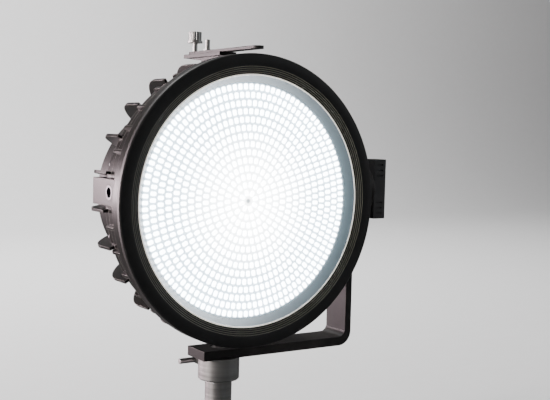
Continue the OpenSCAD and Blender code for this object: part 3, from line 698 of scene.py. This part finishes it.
def plate_finish():
    """Glass between the cells: milky light that fades from the middle to the rim."""
    finish = Finish("lens_plate_lit", (0.32, 0.4, 0.45), 0.25)
    tree = finish.tree
    radius = shared(tree, "From the optical axis")["Radius"]
    haze_span = (6.0 * MM, 92.0 * MM)
    dot_span = (1.2 * MM, 3.4 * MM)
    edge_span = (116.5 * MM, 120.0 * MM)
    outward = ramp_value(tree, radius, *haze_span, smooth_step=True)
    haze = mix_colours(tree, outward, (1.0, 1.0, 1.0), (0.25, 0.315, 0.37))
    dot = ramp_value(tree, radius, *dot_span, smooth_step=True)
    centred = mix_colours(tree, dot, (0.12, 0.13, 0.14), haze)
    edge = ramp_value(tree, radius, *edge_span, smooth_step=True)
    finish.link(mix_colours(tree, edge, centred, (0.03, 0.037, 0.042)), "Emission Color")
    finish.set("Emission Strength", looks().plate_glow)
    ripple = noise(tree, object_place(tree), 500.0)
    return finish.bump(ripple, strength=0.06, depth=0.1 * MM).material


def window_finish():
    """Smoked display window with a faint blue panel behind it."""
    smoke = (0.008, 0.012, 0.018)
    finish = Finish("window_black", smoke, 0.08)
    tree = finish.tree
    smear = shared(tree, "Dust", Scale=90.0, Amount=0.3)
    finish.link(ramp_value(tree, smear["Mask"], 0.0, 1.0, 0.06, 0.3), "Roughness")
    finish.link(mix_colours(tree, smear["Mask"], smoke, (0.03, 0.04, 0.05)), "Base Color")
    finish.set("Coat Weight", 0.6)
    return finish.material


def board_finish(name, colour, trace):
    """Solder mask with faint traces and pads."""
    finish = Finish(name, colour, 0.35)
    tree = finish.tree
    place = object_place(tree)
    brick = tree.nodes.new("ShaderNodeTexBrick")
    brick.inputs["Scale"].default_value = 90.0
    brick.inputs["Mortar Size"].default_value = 0.06
    turned = tree.nodes.new("ShaderNodeMapping")
    turned.inputs["Rotation"].default_value = (math.pi / 2, 0.0, 0.0)
    tree.links.new(place, turned.inputs["Vector"])
    tree.links.new(turned.outputs["Vector"], brick.inputs["Vector"])
    finish.vary(math_node(tree, "MULTIPLY", brick.outputs["Fac"], 0.6), trace, 0.25)
    return finish.bump(brick.outputs["Fac"], strength=0.15, depth=0.1 * MM).material


def lit_package_finish():
    """Phosphor-coated light package."""
    finish = Finish("led_yellow", (0.95, 0.82, 0.4), 0.4)
    tree = finish.tree
    speck = noise(tree, object_place(tree), 900.0)
    finish.link(mix_colours(tree, speck, (1.0, 0.9, 0.62), (1.0, 0.97, 0.85)), "Emission Color")
    finish.set("Emission Strength", 1.2)
    return finish.bump(speck, strength=0.1, depth=0.1 * MM).material


def marking_finish(name, colour, strength=0.0):
    """Printed or lit marks."""
    finish = Finish(name, colour, 0.55)
    tree = finish.tree
    speck = shared(tree, "Paint grain", Scale=2200.0)
    finish.link(mix_colours(tree, speck["Tone"], shade(colour, 0.82), colour), "Base Color")
    if strength:
        finish.link(mix_colours(tree, speck["Tone"], shade(colour, 0.9), colour), "Emission Color")
        finish.set("Emission Strength", strength)
    return finish.bump(speck["Height"], strength=0.05, depth=0.05 * MM).material


# Colour and roughness of each moulded slot
MOULDED = {
    "gasket_rubber": ((0.02, 0.02, 0.02), 0.8),
    "thermal_grey": ((0.42, 0.43, 0.47), 0.75),
    "lead_red": ((0.42, 0.02, 0.02), 0.45),
    "parts_amber": ((0.5, 0.34, 0.08), 0.5),
    "inlet_blue": ((0.03, 0.09, 0.34), 0.42),
    "socket_black": ((0.022, 0.022, 0.023), 0.45),
    "dial_black": ((0.012, 0.012, 0.013), 0.5),
    "rocker_red": ((0.42, 0.018, 0.014), 0.3),
    "button_grey": ((0.12, 0.12, 0.125), 0.65),
    "disc_fibre": ((0.2, 0.12, 0.06), 0.8),
    "knob_black": ((0.02, 0.02, 0.021), 0.55),
}

# Colour, roughness and stretch of the brushed lines of each metal slot
METALS = {
    "screw_black": ((0.09, 0.09, 0.095), 0.42, 1.0),
    "standoff_brass": ((0.75, 0.58, 0.28), 0.3, 0.04),
    "steel": ((0.3, 0.3, 0.295), 0.42, 0.04),
}


def painted_slots():
    """Values of each painted slot."""
    housing = looks().housing
    return {
        "housing_paint": {
            "colour": housing, "rough": 0.3, "dust": 0.06, "rub": 0.3,
            # Edges 26 times lighter than the paint: partly worn coat, partly a painted highlight along
            # the fins' edges.
            "edge": 1.4 * MM, "wear_and_highlight": 26.0, "gloss": 0.12,
        },
        # Painted shade: the drum's paint is set darker than the housing's, for the shade of its recess
        # between the fins.
        "drum_paint": {
            "colour": shade(housing, 0.6), "rough": 0.45, "dust": 0.15, "rub": 0.2, "wear_and_highlight": 10.0,
        },
        "yoke_paint": {
            "colour": shade(housing, 0.8), "rough": 0.45, "dust": 0.25, "rub": 0.35, "wear_and_highlight": 12.0,
        },
        "panel_grey": {
            "colour": (0.04, 0.04, 0.0425), "rough": 0.55, "grain": 1500.0,
            "dust": 0.12, "rub": 0.1, "gloss": 0.1,
        },
        "cone_white": {"colour": (0.86, 0.86, 0.86), "rough": 0.7, "dust": 0.05, "rub": 0.0},
    }


def finishes():
    """Material of each slot in the record."""
    made = {
        "bezel_black": bezel_finish(),
        "retainer_grey": skirt_finish(),
        "lens_glass": plate_finish(),
        "led_yellow": lit_package_finish(),
        "window_black": window_finish(),
        "board_white": board_finish("board_white", (0.82, 0.82, 0.8), (0.72, 0.72, 0.69)),
        "circuit_green": board_finish("circuit_green", (0.015, 0.15, 0.06), (0.05, 0.3, 0.12)),
    }
    for slot, values in painted_slots().items():
        made[slot] = coat_paint(slot, **values).material
    for slot, (colour, rough) in MOULDED.items():
        made[slot] = moulded(slot, colour, rough).material
    for slot, (colour, rough, stretch) in METALS.items():
        made[slot] = bare_metal(slot, colour, rough, stretch).material
    return made


SLOT_FINISHES = {}


def slot_of(node):
    """Record's material slot of a CAD node."""
    for row in frame["record"]["subparts"]:
        if row["node"] == node:
            return row["material_slot"]
    raise RuntimeError(f"no slot for {node}")


class SPOTLIGHT_OT_finishes(bpy.types.Operator):
    """Gives every CAD node the finish of its material slot"""

    bl_idname = "spotlight.finishes"
    bl_label = "Finish the solids"

    def execute(self, context):
        SLOT_FINISHES.update(finishes())
        for node, piece in frame["nodes"].items():
            piece.data.materials.clear()
            piece.data.materials.append(SLOT_FINISHES[slot_of(node)])
        return {"FINISHED"}


class SPOTLIGHT_OT_bezel(bpy.types.Operator):
    """Models the bezel ring with the stepped baffle around the rim"""

    bl_idname = "spotlight.bezel"
    bl_label = "Stepped bezel"

    def execute(self, context):
        low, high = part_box("bezel_ring")
        outer = (high.x - low.x) / 2
        chamfer = 1.2 * MM
        deselect()
        bpy.ops.mesh.primitive_circle_add(
            vertices=256, radius=BAFFLE_R,
            location=(AXIS_X, high.y, AXIS_Z), rotation=(math.pi / 2, 0, 0),
        )
        piece = settle("stepped_bezel")
        start = (BAFFLE_R, high.y)
        profile = self.steps(sizes(), low.y)
        profile += [(outer - chamfer, low.y), (outer, low.y + chamfer), (outer, high.y), start]
        pick_edges(piece, lambda a, b: True)
        for last, spot in zip([start] + profile, profile):
            self.pull(last, spot)
        bpy.ops.mesh.select_all(action="SELECT")
        bpy.ops.mesh.remove_doubles(threshold=0.01 * MM)
        bpy.ops.mesh.normals_make_consistent(inside=False)
        close_edit()
        self.round_edges(piece)
        smooth(piece, 40)
        hand_over(piece, "head", "bezel_black", SLOT_FINISHES["bezel_black"], "bezel_ring")
        return {"FINISHED"}

    def steps(self, s, front):
        """Radius and depth of the baffle's corners, from the rim outwards."""
        corners = []
        for index in range(s.baffle_steps):
            depth = front + (s.baffle_steps - index) * s.baffle_drop
            corners.append((BAFFLE_R + index * s.baffle_pitch, depth))
            corners.append((BAFFLE_R + (index + 1) * s.baffle_pitch, depth))
        corners.append((BAFFLE_R + s.baffle_steps * s.baffle_pitch, front))
        return corners

    def pull(self, last, spot):
        """Extrudes the open ring of edges from one corner of the profile to the next."""
        bpy.ops.mesh.extrude_region_move(TRANSFORM_OT_translate={"value": (0, spot[1] - last[1], 0)})
        grow = spot[0] / last[0]
        bpy.ops.transform.resize(value=(grow, 1, grow), center_override=(AXIS_X, spot[1], AXIS_Z))

    def round_edges(self, piece):
        """Small rounding on the front corners of the steps and on the outside."""
        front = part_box("bezel_ring")[0].y
        same = 0.01 * MM
        reach = front + 4 * MM

        def around(a, b):
            widths = [math.hypot(end.x - AXIS_X, end.z - AXIS_Z) for end in (a, b)]
            level = abs(widths[0] - widths[1]) < same and abs(a.y - b.y) < same
            return level and a.y < reach

        round_off(piece, around, 0.12 * MM)


class SPOTLIGHT_OT_lens(bpy.types.Operator):
    """Models the lens plate and its rings of pillow cells"""

    bl_idname = "spotlight.lens"
    bl_label = "Lit lens"

    def execute(self, context):
        s = sizes()
        centre = Vector((AXIS_X, RIM_Y, AXIS_Z))
        front = RIM_Y + s.plate_front
        rings = []
        for k in range(1, s.ring_count + 1):
            ring = self.cell(s, k * s.ring_pitch, front)
            repeat_around(ring, s.cell_step * k, centre, (0, 1, 0))
            rings.append(ring)
        cells = join("lens_cells", rings)
        to_axis = Matrix.Translation(centre)
        cells.data.transform(to_axis @ Matrix.Rotation(-s.cell_turn, 4, "Y") @ to_axis.inverted())
        smooth(cells, 60)
        hand_over(cells, "head", "lens_glass", cell_finish(), "fresnel_lens")
        self.plate(s, front)
        return {"FINISHED"}

    def cell(self, s, radius, front):
        """One pillow cell at the right of the axis, with rounded corners and crown."""
        sunk = 0.4 * MM
        corner = 1.25 * MM
        shoulder = 0.55 * MM
        crown = 0.3 * MM
        size = (s.cell_length, s.cell_height + sunk, s.cell_width)
        place = (AXIS_X + radius, front + sunk - size[1] / 2, AXIS_Z)
        piece = add_box("cell", size, place)
        round_off(piece, lambda a, b: abs(a.y - b.y) > size[1] / 2, corner, 3)
        pick_faces(piece, lambda at, normal: normal.y < -0.9)
        bpy.ops.mesh.inset(thickness=shoulder)
        bpy.ops.transform.translate(value=(0, -crown, 0))
        close_edit()
        return piece

    def plate(self, s, front):
        """Plate of the lens, with a rounded rim and a shallow dish in the middle."""
        radius = (LENS_HIGH.x - LENS_LOW.x) / 2
        depth = LENS_BACK_Y - front
        dish_r = 4 * MM
        dish_slope = 1.2 * MM
        dish_depth = 0.4 * MM
        place = (AXIS_X, front + depth / 2, AXIS_Z)
        piece = add_rod("lens_plate", radius, depth, place, sides=128)
        round_off(piece, lambda a, b: abs(a.y - b.y) < 1e-6, 0.6 * MM)
        pick_faces(piece, lambda at, normal: normal.y < -0.9 and abs(at.x) < 1e-4)
        bpy.ops.mesh.inset(thickness=radius - dish_r)
        bpy.ops.mesh.inset(thickness=dish_slope, depth=-dish_depth)
        close_edit()
        smooth(piece)
        hand_over(piece, "head", "lens_glass", SLOT_FINISHES["lens_glass"], "fresnel_lens")


def socket_screw(name, shaft_r, head_r, head_h, length):
    """Screw along +Y with its head's seat at y = 0: a rounded head with a six-sided socket."""
    socket_r = head_r * 0.56
    crown = min(head_h, head_r) * 0.28
    tip = shaft_r * 0.3
    near_end = 0.9
    head = add_rod(name, head_r, head_h, (0, head_h / 2, 0), sides=28)
    round_off(head, lambda a, b: min(a.y, b.y) > head_h * near_end, crown, 3)
    socket = add_rod("socket", socket_r, head_h, (0, head_h, 0), sides=6)
    cut_away(head, socket)
    shaft = add_rod("shaft", shaft_r, length, (0, -length / 2, 0), sides=16)
    round_off(shaft, lambda a, b: max(a.y, b.y) < -length * near_end, tip)
    return join(name, [head, shaft])


# Node, number of screws, radius of shaft and head and height of head in mm, slot
SCREW_SETS = (
    ("bezel_screws", 6, 2.0, 3.5, 2.6, "screw_black"),
    ("body_screws", 8, 2.0, 3.5, 2.6, "screw_black"),
    ("panel_screws", 6, 1.5, 2.5, 1.6, "steel"),
)


def solids_of(node, count, reach):
    """Middles of a node's separate solids, seen from the back, that lie more than a reach apart."""
    groups = []
    for vertex in frame["nodes"][node].data.vertices:
        flat = Vector((vertex.co.x, vertex.co.z))
        for group in groups:
            if (group["at"] - flat).length < reach:
                group["all"].append(flat)
                break
        else:
            groups.append({"at": flat, "all": [flat]})
    spots = []
    for group in groups:
        low = Vector((min(p.x for p in group["all"]), min(p.y for p in group["all"])))
        high = Vector((max(p.x for p in group["all"]), max(p.y for p in group["all"])))
        spots.append((low + high) / 2)
    if len(spots) != count:
        raise RuntimeError(f"{node}: found {len(spots)} solids, not {count}")
    return spots


class SPOTLIGHT_OT_screws(bpy.types.Operator):
    """Models the socket screws of the bezel, the castings and the rear panel"""

    bl_idname = "spotlight.screws"
    bl_label = "Socket screws"

    def execute(self, context):
        for screw_set in SCREW_SETS:
            self.group(*screw_set)
        self.pin_screw()
        return {"FINISHED"}

    def group(self, node, count, shaft_r, head_r, head_h, slot):
        """One screw, copied to the place of each solid of a node."""
        low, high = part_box(node)
        seat = high.y - head_h * MM
        model = socket_screw("screw", shaft_r * MM, head_r * MM, head_h * MM, seat - low.y)
        copies = []
        for spot in solids_of(node, count, 4 * head_r * MM):
            copies.append(copy_to(model, Matrix.Translation((spot.x, seat, spot.y))))
        bpy.data.objects.remove(model)
        piece = join(node.replace("screws", "screw_set"), copies)
        smooth(piece)
        hand_over(piece, "head", slot, SLOT_FINISHES[slot], node)

    def pin_screw(self):
        """Screw that holds the yoke's foot on the stand pin."""
        low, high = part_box("pin_screw")
        shaft_r = 5 * MM
        head_r = 9.5 * MM
        head_h = 4.7 * MM
        model = socket_screw("foot_screw", shaft_r, head_r, head_h, high.z - head_h - low.z)
        model.data.transform(Matrix.Rotation(math.pi / 2, 4, "X"))
        model.data.transform(Matrix.Translation((0, 0, high.z - head_h)))
        smooth(model)
        hand_over(model, "yoke", "steel", SLOT_FINISHES["steel"], "pin_screw")


class SPOTLIGHT_OT_markings(bpy.types.Operator):
    """Prints the marks around the dials and lights the bars of the display"""

    bl_idname = "spotlight.markings"
    bl_label = "Markings"

    def execute(self, context):
        white = marking_finish("mark_white", (0.7, 0.7, 0.68))
        blue = marking_finish("display_bars", (0.35, 0.7, 1.0), 1.6)
        ticks = [self.ticks(node) for node in ("dimmer_dial", "colour_dial")]
        hand_over(join("dial_ticks", ticks), "head", "panel_grey", white)
        for node, body in (("dimmer_dial", "dimmer"), ("colour_dial", "colour")):
            hand_over(self.pointer(node), body, "dial_black", white)
        hand_over(self.bars(), "head", "window_black", blue)
        hand_over(self.contacts(), "head", "standoff_brass", SLOT_FINISHES["standoff_brass"])
        return {"FINISHED"}

    def ticks(self, node):
        """Printed marks over three quarters of a turn, open at the bottom."""
        at = middle(node)
        count = 11
        pitch = math.radians(270) / (count - 1)
        size = (2.2 * MM, 0.2 * MM, 0.7 * MM)
        mark = add_box("tick", size, (at.x + sizes().tick_reach, PANEL_Y + size[1] / 2, at.z))
        pick_faces(mark, lambda centre, normal: normal.y > 0.9)
        bpy.ops.mesh.inset(thickness=0.15 * MM, depth=0.02 * MM)
        close_edit()
        to_dial = Matrix.Translation((at.x, 0, at.z))
        first = Matrix.Rotation(math.radians(45), 4, "Y")
        mark.data.transform(to_dial @ first @ to_dial.inverted())
        repeat_around(mark, count, (at.x, PANEL_Y, at.z), (0, 1, 0), pitch * count)
        return mark

    def pointer(self, node):
        """Inlaid line on the face of a dial."""
        low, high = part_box(node)
        at = (low + high) / 2
        face = high.y
        out = 6.6 * MM
        sunk = 0.45 * MM
        size = (5.0 * MM, 0.75 * MM, 1.0 * MM)
        name = node.replace("dial", "pointer")
        line = add_box(name, size, (at.x + out, face - sunk, at.z))
        round_off(line, lambda a, b: min(a.y, b.y) > face - 0.2 * MM, 0.15 * MM)
        return line

    def bars(self):
        """Rising row of lit bars in the display window."""
        low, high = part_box("display_window")
        count = 10
        pitch = 3.6 * MM
        shortest = 3.0 * MM
        rise = 1.1 * MM
        margin = 5 * MM
        bars = []
        for index in range(count):
            height = shortest + rise * index
            x = ((count - 1) / 2 - index) * pitch
            size = (2.2 * MM, 0.3 * MM, height)
            bar = add_box("bar", size, (x, high.y, low.z + margin + height / 2))
            round_off(bar, lambda a, b: abs(a.y - b.y) > 0.1 * MM, 0.4 * MM)
            bars.append(bar)
        return join("display_bars", bars)

    def contacts(self):
        """Rows of spring contacts along the upper wall of the data sockets."""
        roof = 5.5 * MM
        depth = 4.5 * MM
        count = 8
        pitch = 1.3 * MM
        size = (0.6 * MM, 6.0 * MM, 0.5 * MM)

        def mouth(a, b):
            return abs(a.x - b.x) > size[0] / 2 and a.y > PANEL_Y - 2 * MM

        strips = []
        for spot in solids_of("data_sockets", 2, 30 * MM):
            for index in range(count):
                x = spot.x + (index - (count - 1) / 2) * pitch
                strip = add_box("contact", size, (x, PANEL_Y - depth, spot.y + roof - size[2] / 2))
                round_off(strip, mouth, 0.2 * MM)
                strips.append(strip)
        return join("data_contacts", strips)


HEAD = (0.0, 0.0, AXIS_Z)
WHITE = (1.0, 1.0, 1.0)

# Name, place, aim, width in metres, power in watts, colour
LIGHTS = (
    ("key", (-2.2, 0.15, 0.4), HEAD, 0.4, 62, (1.0, 0.9, 0.87)),
    ("side", (-1.15, 1.35, 0.25), HEAD, 0.26, 78, (1.0, 0.8, 0.85)),
    ("fill", (1.9, -1.2, 1.1), HEAD, 1.8, 14, (0.95, 0.97, 1.0)),
    ("top", (-0.4, 1.1, 2.2), HEAD, 1.2, 70, WHITE),
    ("backdrop", (0.3, 1.4, 2.0), (0.6, 3.0, 0.5), 1.6, 60, WHITE),
)
GLOSS_ONLY = "side"
ROOM_TINT = (0.75, 0.76, 0.78, 1.0)
ROOM_LIGHT = 0.18
WALL_LIGHT = 0.62
FLOOR_PALE = (0.82, 0.82, 0.82)
FLOOR_SPECK = (0.78, 0.78, 0.78)
FLOOR_MIRRORED = (0.12, 0.12, 0.12, 1.0)


class SPOTLIGHT_OT_stage(bpy.types.Operator):
    """Sets the pale floor, the soft lights and the camera"""

    bl_idname = "spotlight.stage"
    bl_label = "Stage"

    def execute(self, context):
        self.sweep()
        for row in LIGHTS:
            self.light(*row)
        self.room(context)
        self.camera(context)
        return {"FINISHED"}

    def room(self, context):
        """Soft room: a dim light, with a pale wall wherever the camera looks past the floor."""
        world = bpy.data.worlds.new("soft room")
        context.scene.world = world
        world.use_nodes = True
        tree = world.node_tree
        dim = tree.nodes["Background"]
        wall = tree.nodes.new("ShaderNodeBackground")
        for node, strength in ((dim, ROOM_LIGHT), (wall, WALL_LIGHT)):
            node.inputs["Color"].default_value = ROOM_TINT
            node.inputs["Strength"].default_value = strength
        self.by_ray(tree, "Is Camera Ray", dim, wall, "World Output")

    def sweep(self):
        """Floor that curves up into a backdrop."""
        floor_z = CAD_BOX[0][2] - 0.5 * MM
        width = 9.0
        bend_start = 2.1
        bend = 0.9
        wall = 3.5
        steps = 10
        deselect()
        bpy.ops.mesh.primitive_plane_add(size=width, location=(0, 0, floor_z))
        floor = settle("floor")
        pick_edges(floor, lambda a, b: min(a.y, b.y) > bend_start)
        bpy.ops.transform.translate(value=(0, bend_start - width / 2, 0))
        for step in range(steps):
            angle = math.pi / 2 * (step + 0.5) / steps
            run = bend * math.pi / 2 / steps
            bpy.ops.mesh.extrude_region_move(
                TRANSFORM_OT_translate={"value": (0, run * math.cos(angle), run * math.sin(angle))}
            )
        bpy.ops.mesh.extrude_region_move(TRANSFORM_OT_translate={"value": (0, 0, wall)})
        close_edit()
        smooth(floor, 60)
        pale = Finish("pale_floor", FLOOR_PALE, 0.85)
        speck = noise(pale.tree, object_place(pale.tree), 40.0)
        pale.link(mix_colours(pale.tree, speck, FLOOR_SPECK, FLOOR_PALE), "Base Color")
        dark = pale.tree.nodes.new("ShaderNodeBsdfDiffuse")
        dark.inputs["Color"].default_value = FLOOR_MIRRORED
        self.by_ray(pale.tree, "Is Glossy Ray", pale.shader, dark, "Material Output")
        floor.data.materials.append(pale.material)

    def by_ray(self, tree, ray, plain_shader, ray_shader, output):
        """Shows one kind of ray another shader, so that dark paint mirrors a darker room."""
        choice = tree.nodes.new("ShaderNodeMixShader")
        tree.links.new(tree.nodes.new("ShaderNodeLightPath").outputs[ray], choice.inputs[0])
        tree.links.new(plain_shader.outputs[0], choice.inputs[1])
        tree.links.new(ray_shader.outputs[0], choice.inputs[2])
        tree.links.new(choice.outputs[0], tree.nodes[output].inputs["Surface"])

    def light(self, name, place, aim, size, power, colour):
        """Square soft light that looks at its aim."""
        deselect()
        bpy.ops.object.light_add(type="AREA", location=place)
        lamp = bpy.context.object
        lamp.name = name
        lamp.data.shape = "SQUARE"
        lamp.data.size = size
        lamp.data.energy = power
        lamp.data.color = colour
        towards = Vector(aim) - Vector(place)
        lamp.rotation_euler = towards.to_track_quat("-Z", "Y").to_euler()
        lamp.visible_diffuse = name != GLOSS_ONLY

    def camera(self, context):
        """Camera at the photograph's angle, so that the rim's middle falls where it does there."""
        s = stage()
        rim = Vector((AXIS_X, RIM_Y, AXIS_Z))
        towards = Vector((
            math.sin(s.azimuth) * math.cos(s.elevation),
            -math.cos(s.azimuth) * math.cos(s.elevation),
            math.sin(s.elevation),
        ))
        level = Vector((math.cos(s.azimuth), math.sin(s.azimuth), 0))
        rise = towards.cross(level)
        right = level * math.cos(s.roll) + rise * math.sin(s.roll)
        up = rise * math.cos(s.roll) - level * math.sin(s.roll)
        px = s.distance / (PHOTO_WIDTH * self.lens_mm(s) / SENSOR_MM)
        place = rim + towards * s.distance
        place += right * (PHOTO_WIDTH / 2 - s.rim_px[0]) * px
        place += up * (s.rim_px[1] - PHOTO_HEIGHT / 2) * px
        deselect()
        bpy.ops.object.camera_add(location=place)
        camera = bpy.context.object
        turn = Matrix((right, up, towards)).transposed()
        camera.rotation_euler = turn.to_euler()
        camera.data.sensor_fit = "HORIZONTAL"
        camera.data.sensor_width = SENSOR_MM
        camera.data.lens = self.lens_mm(s)
        context.scene.camera = camera

    def lens_mm(self, s):
        """Focal length at which one pixel is one millimetre at the rim."""
        return s.distance / MM * SENSOR_MM / PHOTO_WIDTH


class SPOTLIGHT_PT_panel(bpy.types.Panel):
    """Lists the spotlight's sizes, colours and steps"""

    bl_idname = "SPOTLIGHT_PT_panel"
    bl_label = "Fresnel spotlight"
    bl_space_type = "VIEW_3D"
    bl_region_type = "UI"
    bl_category = "Spotlight"

    def draw(self, context):
        layout = self.layout
        for group in (sizes(), looks(), stage()):
            box = layout.box()
            for name in group.__annotations__:
                box.prop(group, name)
        for step in STEPS:
            layout.operator(step.bl_idname)


GROUPS = (SpotlightSizes, SpotlightLooks, SpotlightStage)
STEPS = (
    SPOTLIGHT_OT_finishes,
    SPOTLIGHT_OT_bezel,
    SPOTLIGHT_OT_lens,
    SPOTLIGHT_OT_screws,
    SPOTLIGHT_OT_markings,
    SPOTLIGHT_OT_stage,
)


def register():
    for item in GROUPS + STEPS + (SPOTLIGHT_PT_panel,):
        bpy.utils.register_class(item)
    bpy.types.Scene.spotlight_sizes = bpy.props.PointerProperty(type=SpotlightSizes)
    bpy.types.Scene.spotlight_looks = bpy.props.PointerProperty(type=SpotlightLooks)
    bpy.types.Scene.spotlight_stage = bpy.props.PointerProperty(type=SpotlightStage)


def unregister():
    del bpy.types.Scene.spotlight_stage
    del bpy.types.Scene.spotlight_looks
    del bpy.types.Scene.spotlight_sizes
    for item in reversed(GROUPS + STEPS + (SPOTLIGHT_PT_panel,)):
        bpy.utils.unregister_class(item)


def main():
    register()
    bpy.ops.spotlight.finishes()
    bpy.ops.spotlight.bezel()
    bpy.ops.spotlight.lens()
    bpy.ops.spotlight.screws()
    bpy.ops.spotlight.markings()
    bpy.ops.spotlight.stage()


if __name__ == "__main__":
    main()
